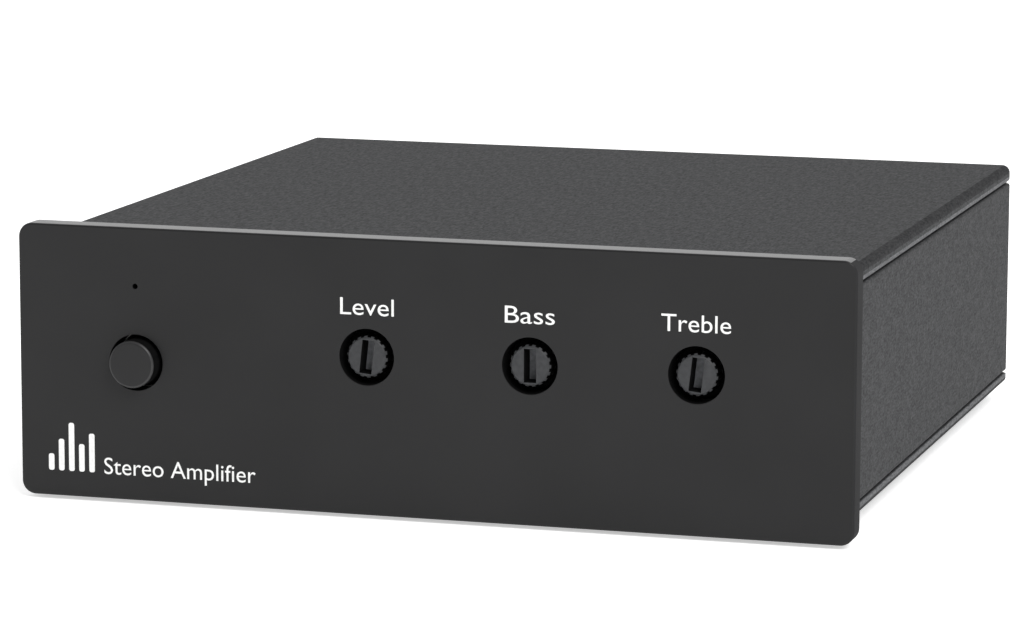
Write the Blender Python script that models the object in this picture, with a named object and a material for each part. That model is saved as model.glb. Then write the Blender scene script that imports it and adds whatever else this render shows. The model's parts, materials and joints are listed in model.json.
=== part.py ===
"""Compact stereo integrated amplifier: an extruded aluminium case behind a thick front plate.

Metres, +Z up, front plate facing -Y. The origin is on the surface that the feet stand on, at the
middle of the overall width and depth. Pieces are placed under one empty whose own origin is on the
front plate's face, so every Y below is the distance behind that face.
"""

import math

import bmesh
import bpy
from mathutils import Matrix, Vector

# ---------------------------------------------------------------- overall sizes
PLATE_WIDTH = 0.1220
PLATE_HEIGHT = 0.0393
CASE_DEPTH = 0.1169

# ---------------------------------------------------------------- clearances
CONTACT_GAP = 0.0003      # between faces that rest on each other
SLIDE_GAP = 0.0004        # between a cover's hook and the flange that it slides on
BOARD_GAP = 0.0001        # between a circuit board and the faces of its slot
SCREW_GAP = 0.0003        # round a screw's shank
OVERLAP = 0.0004          # how far joined shapes run into each other

# ---------------------------------------------------------------- front plate
PLATE_THICKNESS = 0.0035
PLATE_CORNER_RADIUS = 0.0020
PLATE_EDGE_CHAMFER = 0.0003
PLATE_SIDE_OVERHANG = 0.0019
PLATE_EDGE_OVERHANG = 0.00205
PLATE_GROUND_CLEARANCE = 0.0005
WINDOW_RADIUS = 0.0040
LED_HOLE_RADIUS = 0.0004
HEAD_POCKET_DEPTH = 0.0022
PLATE_SCREW_DEPTH = 0.0023

# ---------------------------------------------------------------- covers and side panels
TOP_EDGE_HEIGHT = 0.0026
TOP_SHEET = 0.0018
TOP_OUTER_RADIUS = 0.0012
BOTTOM_EDGE_HEIGHT = 0.0016
BOTTOM_SHEET = 0.0014
BOTTOM_OUTER_RADIUS = 0.0008
COVER_INNER_RADIUS = 0.0005
HOOK_WEB = 0.0012
HOOK_FOOT = 0.0011
SIDE_WALL = 0.0020
SIDE_EDGE_RADIUS = 0.0004
FLANGE_THICKNESS = 0.0012
FLANGE_REACH = 0.0026
RIB_THICKNESS = 0.0010
RIB_REACH = 0.0022
CHANNEL_OUTER_RADIUS = 0.0028
CHANNEL_CENTRE_IN = 0.0024     # from the side panel's inner face
CHANNEL_MOUTH = 0.0014
LOW_CHANNEL_RISE = 0.0120      # above the case's underside
HIGH_CHANNEL_DROP = 0.0104     # below the case's top
CHANNEL_MILLING = 0.0015       # how far the channels stop behind the case's front end
MILLING_BITE = 0.0002          # how far that cut bites into the wall

# ---------------------------------------------------------------- screws
SHANK_RADIUS = 0.0014
HEAD_RADIUS = 0.00275
HEAD_HEIGHT = 0.0018
HEAD_CROWN = 0.0005
SOCKET_RADIUS = 0.0012
SOCKET_DEPTH = 0.0010
CASE_SCREW_LENGTH = 0.0095
PLATE_SCREW_LENGTH = 0.0034

# ---------------------------------------------------------------- feet
FOOT_RADIUS = 0.0055
FOOT_EDGE_RADIUS = 0.0006
FOOT_SIDE_INSET = 0.0130       # foot centre from the case's side
FOOT_END_INSET = 0.0120        # foot centre from the case's front or rear end

# ---------------------------------------------------------------- front controls
BUTTON_FROM_LEFT = 0.0177      # from the plate's left edge
BUTTON_ABOVE_MIDDLE = 0.0003
LED_BELOW_TOP = 0.0084
TREBLE_FROM_RIGHT = 0.0223     # from the plate's right edge
CONTROL_PITCH = 0.02375
CONTROL_ABOVE_MIDDLE = 0.0029
SHAFT_RADIUS = 0.0030
SHAFT_RECESS = 0.0001
SHAFT_ROOT_DEPTH = 0.00030
SHAFT_TEETH = 18
SHAFT_KNURL_LENGTH = 0.0034
SHAFT_TIP_CHAMFER = 0.0003
JOURNAL_RADIUS = 0.0029
JOURNAL_CLEARANCE = 0.0001
SLOT_WIDTH = 0.00175
SLOT_LENGTH = 0.0047
SLOT_DEPTH = 0.0029
SLOT_TILTS = {"level": 6.0, "bass": 0.0, "treble": 6.5}   # degrees, clockwise seen from the front
POT_WIDTH = 0.0098
POT_HEIGHT = 0.0110
POT_DEPTH = 0.0065
POT_BUSHING_RADIUS = 0.0037
POT_BUSHING_LENGTH = 0.0020
POT_EDGE_BEVEL = 0.0005

# ---------------------------------------------------------------- power button
BUTTON_RADIUS = 0.0034
BUTTON_PROUD = 0.0020
BUTTON_EDGE_RADIUS = 0.0004
BUTTON_FLANGE_RADIUS = 0.0049
BUTTON_FLANGE = 0.0010
BUTTON_TRAVEL = 0.0008
PLUNGER_RADIUS = 0.0016
PLUNGER_SOCKET_DEPTH = 0.0020
SWITCH_SIDE = 0.0066
SWITCH_DEPTH = 0.0038
SWITCH_ENGAGEMENT = 0.0014     # plunger inside the switch when it is not pressed

# ---------------------------------------------------------------- front bracket and boards
BRACKET_SHEET = 0.0012
BRACKET_HOLE_RADIUS = 0.0042
BRACKET_TAB_HALF_HEIGHT = 0.0026
BRACKET_TOP_MARGIN = 0.0016
EAR_PAST_BOARD = 0.0012         # how far the bracket's ears run behind the control board
EAR_SLOT_HALF_HEIGHT = 0.0040
BOARD = 0.0016
CONTROL_BOARD_TAB = 0.0006     # how far the board's tab comes out of the bracket's ear
BOARD_SETBACK = 0.0006         # main board behind the bracket's ears
BOARD_REAR_INSET = 0.0022
BOARD_RISE = 0.0057            # main board's underside above the case's underside
CONNECTOR_WIDTH = 0.0300
CONNECTOR_DEPTH = 0.0070
CONNECTOR_HEIGHT = 0.0085
CONNECTOR_WALL = 0.0025

# ---------------------------------------------------------------- status light
LED_RADIUS = 0.0015
LED_RIM_RADIUS = 0.0019
LED_RIM = 0.0008
LED_LENGTH = 0.0070

# ---------------------------------------------------------------- parts on the main board
CHIP_SIZE = (0.0140, 0.0100, 0.0012)
HEATSINK_SIZE = (0.0400, 0.0320, 0.0150)
HEATSINK_BASE = 0.0030
HEATSINK_FINS = 8
HEATSINK_FIN = 0.0014
HEATSINK_LEFT_OF_MIDDLE = 0.0190
CAPACITOR_RADIUS = 0.0063
CAPACITOR_HEIGHT = 0.0170
CAPACITOR_GROOVE = 0.0004
CAPACITOR_GROOVE_RISE = 0.0025
CAPACITOR_PITCH = 0.0160
CAPACITOR_RIGHT_OF_MIDDLE = 0.0290
INDUCTOR_SIZE = (0.0140, 0.0140, 0.0100)
INDUCTOR_BEVEL = 0.0010
INDUCTOR_PITCH = 0.0290
INDUCTOR_FROM_REAR = 0.0260

# ---------------------------------------------------------------- rear plate and its sockets
REAR_PLATE_THICKNESS = 0.0015
REAR_PLATE_INSET = 0.0008      # inside the case's outline
REAR_CORNER_RADIUS = 0.0012
SOCKET_HOLE_GAP = 0.0004

POST_PITCH = 0.0146
POST_FROM_LEFT = 0.0156        # first post from the case's left side, seen from the front
POST_NAMES = ("right_negative", "right_positive", "left_positive", "left_negative")
POST_RADIUS = 0.0030
POST_BORE_RADIUS = 0.00205
POST_BORE_DEPTH = 0.0135
POST_SHOULDER_RADIUS = 0.0045
POST_SHOULDER = 0.0014
POST_STUD_LENGTH = 0.0090      # behind the terminal base
POST_PIN_RADIUS = 0.0012
POST_PIN_LENGTH = 0.0045
POST_THREAD_CLEARANCE = 0.0003
BASE_PLATE = 0.0025
BASE_HEIGHT = 0.0136
BASE_END_MARGIN = 0.0060
BASE_CORNER_RADIUS = 0.0030
BUSH_RADIUS = 0.0046
BUSH_LENGTH = 0.0034
WASHER_RADIUS = 0.0050
WASHER = 0.0008
THUMB_NUT_RADIUS = 0.0062
THUMB_NUT_LENGTH = 0.0105
THUMB_NUT_FLUTES = 12
THUMB_NUT_FLUTE_DEPTH = 0.0005
THUMB_NUT_CHAMFER = 0.0006

RCA_FROM_RIGHT = 0.0441        # from the case's right side
RCA_PITCH = 0.0140
RCA_SLEEVE_RADIUS = 0.00415
RCA_SLEEVE_WALL = 0.0006
RCA_SLEEVE_LENGTH = 0.0095     # outside the rear plate
RCA_FLANGE_RADIUS = 0.0054
RCA_FLANGE = 0.0008
RCA_CORE_GAP = 0.00035
RCA_CORE_SETBACK = 0.0006
RCA_PIN_RADIUS = 0.0016
RCA_PIN_DEPTH = 0.0085
RCA_BODY_WIDTH = 0.0124
RCA_BODY_DEPTH = 0.0120

TRIGGER_FROM_RIGHT = 0.0300
TRIGGER_RISE = 0.0050          # axis above the main board
TRIGGER_NOSE_RADIUS = 0.0029
TRIGGER_BORE_RADIUS = 0.0018
TRIGGER_BORE_DEPTH = 0.0110
TRIGGER_BODY = (0.0066, 0.0120, 0.0080)

POWER_FROM_RIGHT = 0.0155
POWER_RISE = 0.0064            # axis above the main board
POWER_NOSE_RADIUS = 0.0042
POWER_BORE_RADIUS = 0.0032
POWER_BORE_DEPTH = 0.0095
POWER_PIN_RADIUS = 0.0010
POWER_PIN_SETBACK = 0.0010
POWER_BODY = (0.0092, 0.0135, 0.0110)

# ---------------------------------------------------------------- roundness
ARC_STEPS = 4
SMALL_ARC_STEPS = 2
WINDOW_SEGMENTS = 28
HOLE_SEGMENTS = 16
SCREW_SEGMENTS = 12
TURNED_SEGMENTS = 20
CHANNEL_ARC_STEPS = 4

# ---------------------------------------------------------------- worked-out places
GROUND = 0.0
PLATE_BOTTOM = GROUND + PLATE_GROUND_CLEARANCE
PLATE_MIDDLE = PLATE_BOTTOM + PLATE_HEIGHT / 2
PLATE_TOP = PLATE_BOTTOM + PLATE_HEIGHT
CASE_BOTTOM = PLATE_BOTTOM + PLATE_EDGE_OVERHANG
CASE_TOP = PLATE_TOP - PLATE_EDGE_OVERHANG
CASE_MIDDLE = (CASE_BOTTOM + CASE_TOP) / 2
HALF_CASE = PLATE_WIDTH / 2 - PLATE_SIDE_OVERHANG
CASE_FRONT = PLATE_THICKNESS + CONTACT_GAP
CASE_REAR = CASE_FRONT + CASE_DEPTH
SIDE_INNER = HALF_CASE - SIDE_WALL
PANEL_BOTTOM = CASE_BOTTOM + BOTTOM_EDGE_HEIGHT + CONTACT_GAP
PANEL_TOP = CASE_TOP - TOP_EDGE_HEIGHT - CONTACT_GAP
FLANGE_END = SIDE_INNER - FLANGE_REACH
HOOK_OUTER = FLANGE_END - SLIDE_GAP
CHANNEL_X = SIDE_INNER - CHANNEL_CENTRE_IN
CHANNEL_HEIGHTS = (CASE_BOTTOM + LOW_CHANNEL_RISE, CASE_TOP - HIGH_CHANNEL_DROP)
CHANNEL_RADIUS = SHANK_RADIUS + SCREW_GAP
CHANNEL_FRONT = CASE_FRONT + CHANNEL_MILLING

MAIN_BOARD_BOTTOM = CASE_BOTTOM + BOARD_RISE
MAIN_BOARD_TOP = MAIN_BOARD_BOTTOM + BOARD
ON_BOARD = MAIN_BOARD_TOP + CONTACT_GAP

BRACKET_REAR = CASE_FRONT + BRACKET_SHEET
BRACKET_HALF_WIDTH = HOOK_OUTER - HOOK_WEB - SLIDE_GAP - CONTACT_GAP
BRACKET_BOTTOM = CASE_BOTTOM + BOTTOM_EDGE_HEIGHT + CONTACT_GAP
BRACKET_TOP = CASE_TOP - TOP_SHEET - BRACKET_TOP_MARGIN
EAR_OUTER = CHANNEL_X - CHANNEL_OUTER_RADIUS - CONTACT_GAP - CONTROL_BOARD_TAB
EAR_INNER = EAR_OUTER - BRACKET_SHEET
POT_FRONT = BRACKET_REAR + 2 * CONTACT_GAP + OVERLAP
POT_REAR = POT_FRONT + POT_DEPTH
CONTROL_BOARD_FRONT = POT_REAR + CONTACT_GAP
CONTROL_BOARD_REAR = CONTROL_BOARD_FRONT + BOARD
EAR_REAR = CONTROL_BOARD_REAR + EAR_PAST_BOARD
MAIN_BOARD_FRONT = EAR_REAR + BOARD_SETBACK
MAIN_BOARD_REAR = CASE_REAR - BOARD_REAR_INSET
BOARD_MIDDLE_Y = (MAIN_BOARD_FRONT + MAIN_BOARD_REAR) / 2

BUTTON_X = -PLATE_WIDTH / 2 + BUTTON_FROM_LEFT
BUTTON_Z = PLATE_MIDDLE + BUTTON_ABOVE_MIDDLE
LED_Z = PLATE_TOP - LED_BELOW_TOP
CONTROL_Z = PLATE_MIDDLE + CONTROL_ABOVE_MIDDLE
TREBLE_X = PLATE_WIDTH / 2 - TREBLE_FROM_RIGHT
CONTROL_X = {
    "level": TREBLE_X - 2 * CONTROL_PITCH,
    "bass": TREBLE_X - CONTROL_PITCH,
    "treble": TREBLE_X,
}
PLATE_SCREW_X = (
    (BUTTON_X + CONTROL_X["level"]) / 2,
    (CONTROL_X["bass"] + CONTROL_X["treble"]) / 2,
)

REAR_PLATE_FRONT = CASE_REAR + CONTACT_GAP
REAR_PLATE_REAR = REAR_PLATE_FRONT + REAR_PLATE_THICKNESS
BASE_FRONT = REAR_PLATE_REAR + CONTACT_GAP
BASE_REAR = BASE_FRONT + BASE_PLATE
SHOULDER_FRONT = BASE_REAR + CONTACT_GAP
SHOULDER_REAR = SHOULDER_FRONT + POST_SHOULDER
WASHER_FRONT = SHOULDER_REAR + CONTACT_GAP
NUT_FRONT = WASHER_FRONT + WASHER + CONTACT_GAP
NUT_REAR = NUT_FRONT + THUMB_NUT_LENGTH
POST_END = NUT_REAR - CONTACT_GAP
POST_X = [-HALF_CASE + POST_FROM_LEFT + i * POST_PITCH for i in range(len(POST_NAMES))]
POST_Z = CASE_MIDDLE
RCA_X = HALF_CASE - RCA_FROM_RIGHT
INNER_MIDDLE = (CASE_BOTTOM + BOTTOM_SHEET + CASE_TOP - TOP_SHEET) / 2
RCA_Z = {"left": INNER_MIDDLE + RCA_PITCH / 2, "right": INNER_MIDDLE - RCA_PITCH / 2}
RCA_BODY_REAR = REAR_PLATE_FRONT - 2 * CONTACT_GAP - RCA_FLANGE
TRIGGER_X = HALF_CASE - TRIGGER_FROM_RIGHT
TRIGGER_Z = MAIN_BOARD_TOP + TRIGGER_RISE
POWER_X = HALF_CASE - POWER_FROM_RIGHT
POWER_Z = MAIN_BOARD_TOP + POWER_RISE
JACK_BODY_REAR = REAR_PLATE_FRONT - CONTACT_GAP

OVERALL_MIDDLE_Y = (NUT_REAR - BUTTON_PROUD) / 2

# ---------------------------------------------------------------- finishes: colour, roughness, metallic
FINISHES = {
    "black_anodised": ((0.030, 0.030, 0.031), 0.42, 0.6),
    "black_powder_coat": ((0.045, 0.046, 0.048), 0.55, 0.2),
    "black_plastic": ((0.030, 0.030, 0.032), 0.45, 0.0),
    "shaft_grey": ((0.075, 0.077, 0.080), 0.50, 0.0),
    "rubber": ((0.020, 0.020, 0.020), 0.85, 0.0),
    "zinc_screw": ((0.080, 0.080, 0.085), 0.35, 0.9),
    "plated_steel": ((0.62, 0.62, 0.60), 0.30, 1.0),
    "circuit_board": ((0.020, 0.110, 0.050), 0.40, 0.0),
    "gold_plate": ((0.78, 0.58, 0.25), 0.25, 1.0),
    "red_plastic": ((0.45, 0.020, 0.020), 0.40, 0.0),
    "chip_black": ((0.025, 0.025, 0.025), 0.60, 0.0),
    "bare_aluminium": ((0.55, 0.56, 0.57), 0.35, 1.0),
    "capacitor_sleeve": ((0.030, 0.035, 0.080), 0.35, 0.0),
    "ferrite": ((0.060, 0.060, 0.062), 0.70, 0.0),
    "led_lens": ((0.55, 0.65, 0.85), 0.10, 0.0),
}
SHARP_ANGLE = math.radians(35)


def clear_scene():
    for obj in list(bpy.data.objects):
        bpy.data.objects.remove(obj)


def make_material(name):
    """A plain Principled material for one of the finishes."""
    colour, roughness, metallic = FINISHES[name]
    material = bpy.data.materials.new(name)
    material.use_nodes = True
    shader = material.node_tree.nodes["Principled BSDF"]
    shader.inputs["Base Color"].default_value = (*colour, 1.0)
    shader.inputs["Roughness"].default_value = roughness
    shader.inputs["Metallic"].default_value = metallic
    return material


def make_mesh(name, bm):
    """Closes off a bmesh as a mesh with outward faces, smooth where its angles are shallow."""
    bmesh.ops.remove_doubles(bm, verts=bm.verts, dist=1e-7)
    bmesh.ops.recalc_face_normals(bm, faces=bm.faces)
    mesh = bpy.data.meshes.new(name)
    bm.to_mesh(mesh)
    bm.free()
    mesh.shade_smooth()
    mesh.set_sharp_from_angle(angle=SHARP_ANGLE)
    return mesh


def place(name, mesh, finish, location=(0, 0, 0), rotation=(0, 0, 0)):
    """Adds one named piece under the amplifier's empty."""
    obj = bpy.data.objects.new(name, mesh)
    obj.location = location
    obj.rotation_euler = rotation
    obj.parent = frame
    if not mesh.materials:
        mesh.materials.append(materials[finish])
    bpy.context.scene.collection.objects.link(obj)
    return obj


def combine(obj, bm, operation, label):
    """Joins to or cuts from a piece the closed shapes in a bmesh, which are in the piece's own space."""
    other = bpy.data.objects.new(f"{obj.name}_{label}", make_mesh(f"{obj.name}_{label}", bm))
    other.location = obj.location
    other.rotation_euler = obj.rotation_euler
    other.parent = frame
    other.hide_render = True
    other.display_type = "WIRE"
    bpy.context.scene.collection.objects.link(other)
    boolean = obj.modifiers.new(label, "BOOLEAN")
    boolean.operation = operation
    boolean.object = other


def cut(obj, bm):
    combine(obj, bm, "DIFFERENCE", "cutter")


def join(obj, bm):
    combine(obj, bm, "UNION", "addition")


def arc(centre, radius, start, end, steps):
    """Points on an arc, with its angles in degrees."""
    angles = [math.radians(start + (end - start) * i / steps) for i in range(steps + 1)]
    return [(centre[0] + radius * math.cos(a), centre[1] + radius * math.sin(a)) for a in angles]


def circle(centre, radius, segments):
    return arc(centre, radius, 0, 360, segments)[:-1]


def rounded_rectangle(low, high, radius, steps=ARC_STEPS):
    """Outline from a low corner to a high one, anticlockwise, with round corners."""
    left, bottom = low[0] + radius, low[1] + radius
    right, top = high[0] - radius, high[1] - radius
    return (
        arc((right, bottom), radius, -90, 0, steps)
        + arc((right, top), radius, 0, 90, steps)
        + arc((left, top), radius, 90, 180, steps)
        + arc((left, bottom), radius, 180, 270, steps)
    )


def add_prism(bm, outline, front, rear):
    """Extrudes an outline given in X and Z from one Y to another."""
    face = bm.faces.new([bm.verts.new((x, front, z)) for x, z in outline])
    made = bmesh.ops.extrude_face_region(bm, geom=[face])["geom"]
    moved = [v for v in made if isinstance(v, bmesh.types.BMVert)]
    bmesh.ops.translate(bm, vec=(0, rear - front, 0), verts=moved)
    return face


def add_cylinder(bm, x, z, radius, front, rear, segments=HOLE_SEGMENTS):
    add_prism(bm, circle((x, z), radius, segments), front, rear)


def add_box(bm, low, high):
    low, high = Vector(low), Vector(high)
    matrix = Matrix.Translation((low + high) / 2) @ Matrix.Diagonal((*(high - low), 1.0))
    return bmesh.ops.create_cube(bm, size=1.0, matrix=matrix)["verts"]


def add_turned(bm, profile, segments=TURNED_SEGMENTS, ring=False):
    """Spins a profile of (radius, y) points round the Y axis. A ring's profile is a closed loop."""
    verts = [bm.verts.new((radius, y, 0)) for radius, y in profile]
    pairs = zip(verts, verts[1:] + verts[:1]) if ring else zip(verts, verts[1:])
    edges = [bm.edges.new(pair) for pair in pairs]
    bmesh.ops.spin(
        bm, geom=verts + edges, cent=(0, 0, 0), axis=(0, 1, 0), dvec=(0, 0, 0),
        angle=math.tau, steps=segments, use_merge=True,
    )


def add_loft(bm, rings, tube=False):
    """Skins rings of equally many points; the ends are capped, or joined to each other in a tube."""
    rows = [[bm.verts.new(point) for point in ring] for ring in rings]
    following = rows[1:] + rows[:1] if tube else rows[1:]
    for near, far in zip(rows, following):
        for i in range(len(near)):
            bm.faces.new((near[i - 1], near[i], far[i], far[i - 1]))
    if not tube:
        bm.faces.new(rows[0])
        bm.faces.new(rows[-1])


def ring_points(radii, y):
    """One point for each radius, evenly spaced round the Y axis."""
    step = math.tau / len(radii)
    return [(r * math.cos(i * step), y, r * math.sin(i * step)) for i, r in enumerate(radii)]


def bevel_edges(bm, chosen, width, segments):
    bmesh.ops.bevel(
        bm, geom=chosen, offset=width, segments=segments, profile=0.5, affect="EDGES",
        clamp_overlap=True,
    )


def edges_at(bm, y):
    """The edges that lie wholly at one Y."""
    return [e for e in bm.edges if all(abs(v.co.y - y) < 1e-7 for v in e.verts)]


# ---------------------------------------------------------------- enclosure
def make_front_plate():
    bm = bmesh.new()
    half = PLATE_WIDTH / 2
    outline = rounded_rectangle((-half, PLATE_BOTTOM), (half, PLATE_TOP), PLATE_CORNER_RADIUS)
    add_prism(bm, outline, 0, PLATE_THICKNESS)
    bevel_edges(bm, edges_at(bm, 0), PLATE_EDGE_CHAMFER, 1)
    plate = place("front_plate", make_mesh("front_plate", bm), "black_anodised")

    holes = bmesh.new()
    past = PLATE_THICKNESS + OVERLAP
    for x in CONTROL_X.values():
        add_cylinder(holes, x, CONTROL_Z, WINDOW_RADIUS, -OVERLAP, past, WINDOW_SEGMENTS)
    add_cylinder(holes, BUTTON_X, BUTTON_Z, WINDOW_RADIUS, -OVERLAP, past, WINDOW_SEGMENTS)
    add_cylinder(holes, BUTTON_X, LED_Z, LED_HOLE_RADIUS, -OVERLAP, past, SCREW_SEGMENTS)
    pocket = PLATE_THICKNESS - HEAD_POCKET_DEPTH
    for x, z in channel_centres():
        add_cylinder(holes, x, z, HEAD_RADIUS + SCREW_GAP, pocket, past)
    for x in PLATE_SCREW_X:
        tapped = PLATE_THICKNESS - PLATE_SCREW_DEPTH
        add_cylinder(holes, x, CONTROL_Z, CHANNEL_RADIUS, tapped, past, SCREW_SEGMENTS)
    cut(plate, holes)


def channel_centres():
    return [(side * CHANNEL_X, z) for side in (-1, 1) for z in CHANNEL_HEIGHTS]


def cover_outline(edge_height, sheet, outer_radius):
    """Half of a cover's section, as (x, depth inwards from its outer face)."""
    edge_foot = edge_height + CONTACT_GAP + FLANGE_THICKNESS + SLIDE_GAP
    foot_end = SIDE_INNER - SLIDE_GAP
    return (
        arc((HALF_CASE - outer_radius, outer_radius), outer_radius, -90, 0, ARC_STEPS)
        + arc(
            (HALF_CASE - COVER_INNER_RADIUS, edge_height - COVER_INNER_RADIUS),
            COVER_INNER_RADIUS, 0, 90, SMALL_ARC_STEPS,
        )
        + [
            (HOOK_OUTER, edge_height),
            (HOOK_OUTER, edge_foot),
            (foot_end, edge_foot),
            (foot_end, edge_foot + HOOK_FOOT),
            (HOOK_OUTER - HOOK_WEB, edge_foot + HOOK_FOOT),
            (HOOK_OUTER - HOOK_WEB, sheet),
        ]
    )


def make_cover(name, outer_face, inwards, edge_height, sheet, outer_radius):
    """A cover that slides on from the rear, its hooks under the side panels' flanges."""
    half = cover_outline(edge_height, sheet, outer_radius)
    section = half + [(-x, depth) for x, depth in reversed(half)]
    bm = bmesh.new()
    add_prism(bm, [(x, outer_face + inwards * d) for x, d in section], CASE_FRONT, CASE_REAR)
    return place(name, make_mesh(name, bm), "black_powder_coat")


def channel_outline(z):
    """The C-shaped screw channel on a side panel's inner face, from its top edge round to its lowest."""
    centre = (CHANNEL_X, z)
    meets = math.degrees(math.acos(CHANNEL_CENTRE_IN / CHANNEL_OUTER_RADIUS))
    outer_mouth = math.degrees(math.asin(CHANNEL_MOUTH / 2 / CHANNEL_OUTER_RADIUS))
    inner_mouth = math.degrees(math.asin(CHANNEL_MOUTH / 2 / CHANNEL_RADIUS))
    steps = CHANNEL_ARC_STEPS
    return (
        arc(centre, CHANNEL_OUTER_RADIUS, meets, 180 - outer_mouth, steps)
        + arc(centre, CHANNEL_RADIUS, 180 - inner_mouth, -180 + inner_mouth, 3 * steps)
        + arc(centre, CHANNEL_OUTER_RADIUS, 180 + outer_mouth, 360 - meets, steps)
    )


def side_panel_outline():
    """The right-hand side panel's section, anticlockwise from its outer lowest corner."""
    radius = SIDE_EDGE_RADIUS
    slot_low = MAIN_BOARD_BOTTOM - BOARD_GAP
    slot_high = MAIN_BOARD_TOP + BOARD_GAP
    rib_end = SIDE_INNER - RIB_REACH
    low, high = CHANNEL_HEIGHTS
    return (
        arc((HALF_CASE - radius, PANEL_BOTTOM + radius), radius, -90, 0, SMALL_ARC_STEPS)
        + arc((HALF_CASE - radius, PANEL_TOP - radius), radius, 0, 90, SMALL_ARC_STEPS)
        + [
            (FLANGE_END, PANEL_TOP),
            (FLANGE_END, PANEL_TOP - FLANGE_THICKNESS),
            (SIDE_INNER, PANEL_TOP - FLANGE_THICKNESS),
        ]
        + channel_outline(high)
        + channel_outline(low)
        + [
            (SIDE_INNER, slot_high + RIB_THICKNESS),
            (rib_end, slot_high + RIB_THICKNESS),
            (rib_end, slot_high),
            (SIDE_INNER, slot_high),
            (SIDE_INNER, slot_low),
            (rib_end, slot_low),
            (rib_end, slot_low - RIB_THICKNESS),
            (SIDE_INNER, slot_low - RIB_THICKNESS),
            (SIDE_INNER, PANEL_BOTTOM + FLANGE_THICKNESS),
            (FLANGE_END, PANEL_BOTTOM + FLANGE_THICKNESS),
            (FLANGE_END, PANEL_BOTTOM),
        ]
    )


def make_side_panel(name, side):
    bm = bmesh.new()
    outline = [(side * x, z) for x, z in side_panel_outline()]
    add_prism(bm, outline, CASE_FRONT, CASE_REAR)
    panel = place(name, make_mesh(name, bm), "black_powder_coat")

    milling = bmesh.new()
    reach = CHANNEL_OUTER_RADIUS + OVERLAP
    low_x, high_x = sorted((side * (CHANNEL_X - reach), side * (SIDE_INNER + MILLING_BITE)))
    add_box(
        milling,
        (low_x, CASE_FRONT - OVERLAP, min(CHANNEL_HEIGHTS) - reach),
        (high_x, CHANNEL_FRONT, max(CHANNEL_HEIGHTS) + reach),
    )
    cut(panel, milling)


def make_rear_plate():
    bm = bmesh.new()
    half = HALF_CASE - REAR_PLATE_INSET
    bottom, top = CASE_BOTTOM + REAR_PLATE_INSET, CASE_TOP - REAR_PLATE_INSET
    outline = rounded_rectangle((-half, bottom), (half, top), REAR_CORNER_RADIUS, SMALL_ARC_STEPS)
    add_prism(bm, outline, REAR_PLATE_FRONT, REAR_PLATE_REAR)
    plate = place("rear_plate", make_mesh("rear_plate", bm), "black_powder_coat")

    holes = bmesh.new()
    front, rear = REAR_PLATE_FRONT - OVERLAP, REAR_PLATE_REAR + OVERLAP
    for x, z in channel_centres():
        add_cylinder(holes, x, z, CHANNEL_RADIUS, front, rear, SCREW_SEGMENTS)
    for x in POST_X:
        add_cylinder(holes, x, POST_Z, BUSH_RADIUS + SOCKET_HOLE_GAP, front, rear)
    for z in RCA_Z.values():
        add_cylinder(holes, RCA_X, z, RCA_SLEEVE_RADIUS + SOCKET_HOLE_GAP, front, rear)
    add_cylinder(holes, TRIGGER_X, TRIGGER_Z, TRIGGER_NOSE_RADIUS + SOCKET_HOLE_GAP, front, rear)
    add_cylinder(holes, POWER_X, POWER_Z, POWER_NOSE_RADIUS + SOCKET_HOLE_GAP, front, rear)
    cut(plate, holes)


def make_feet():
    top = CASE_BOTTOM - CONTACT_GAP
    round_edge = arc(
        (FOOT_RADIUS - FOOT_EDGE_RADIUS, GROUND + FOOT_EDGE_RADIUS), FOOT_EDGE_RADIUS, -90, 0,
        SMALL_ARC_STEPS,
    )
    bm = bmesh.new()
    add_turned(bm, [(0, GROUND)] + round_edge + [(FOOT_RADIUS, top), (0, top)])
    mesh = make_mesh("foot", bm)
    upright = (math.pi / 2, 0, 0)
    for end, y in (("front", CASE_FRONT + FOOT_END_INSET), ("rear", CASE_REAR - FOOT_END_INSET)):
        for side, sign in (("left", -1), ("right", 1)):
            x = sign * (HALF_CASE - FOOT_SIDE_INSET)
            place(f"foot_{end}_{side}", mesh, "rubber", (x, y, 0), upright)


# ---------------------------------------------------------------- screws
def screw_mesh(name, shank_length):
    """A pan head with a drive recess. Its origin is under the head, and its shank runs along -Y."""
    recess = HEAD_HEIGHT - SOCKET_DEPTH
    rim = HEAD_RADIUS - HEAD_CROWN
    bm = bmesh.new()
    add_turned(
        bm,
        [
            (0, recess), (SOCKET_RADIUS, recess), (SOCKET_RADIUS, HEAD_HEIGHT), (rim, HEAD_HEIGHT),
            (HEAD_RADIUS, HEAD_HEIGHT - HEAD_CROWN), (HEAD_RADIUS, 0), (SHANK_RADIUS, 0),
            (SHANK_RADIUS, SHANK_RADIUS / 2 - shank_length), (SHANK_RADIUS / 2, -shank_length),
            (0, -shank_length),
        ],
        SCREW_SEGMENTS,
    )
    return make_mesh(name, bm)


def make_screws():
    case_mesh = screw_mesh("case_screw", CASE_SCREW_LENGTH)
    plate_mesh = screw_mesh("plate_screw", PLATE_SCREW_LENGTH)
    facing_front = (0, 0, math.pi)
    rear_y = REAR_PLATE_REAR + CONTACT_GAP
    front_y = CASE_FRONT - CONTACT_GAP
    for (x, z), label in zip(channel_centres(), ("left_low", "left_high", "right_low", "right_high")):
        place(f"rear_screw_{label}", case_mesh, "zinc_screw", (x, rear_y, z))
        place(f"bracket_screw_{label}", case_mesh, "zinc_screw", (x, front_y, z), facing_front)
    for x, label in zip(PLATE_SCREW_X, ("left", "right")):
        y = BRACKET_REAR + CONTACT_GAP
        place(f"plate_screw_{label}", plate_mesh, "zinc_screw", (x, y, CONTROL_Z))


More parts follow.
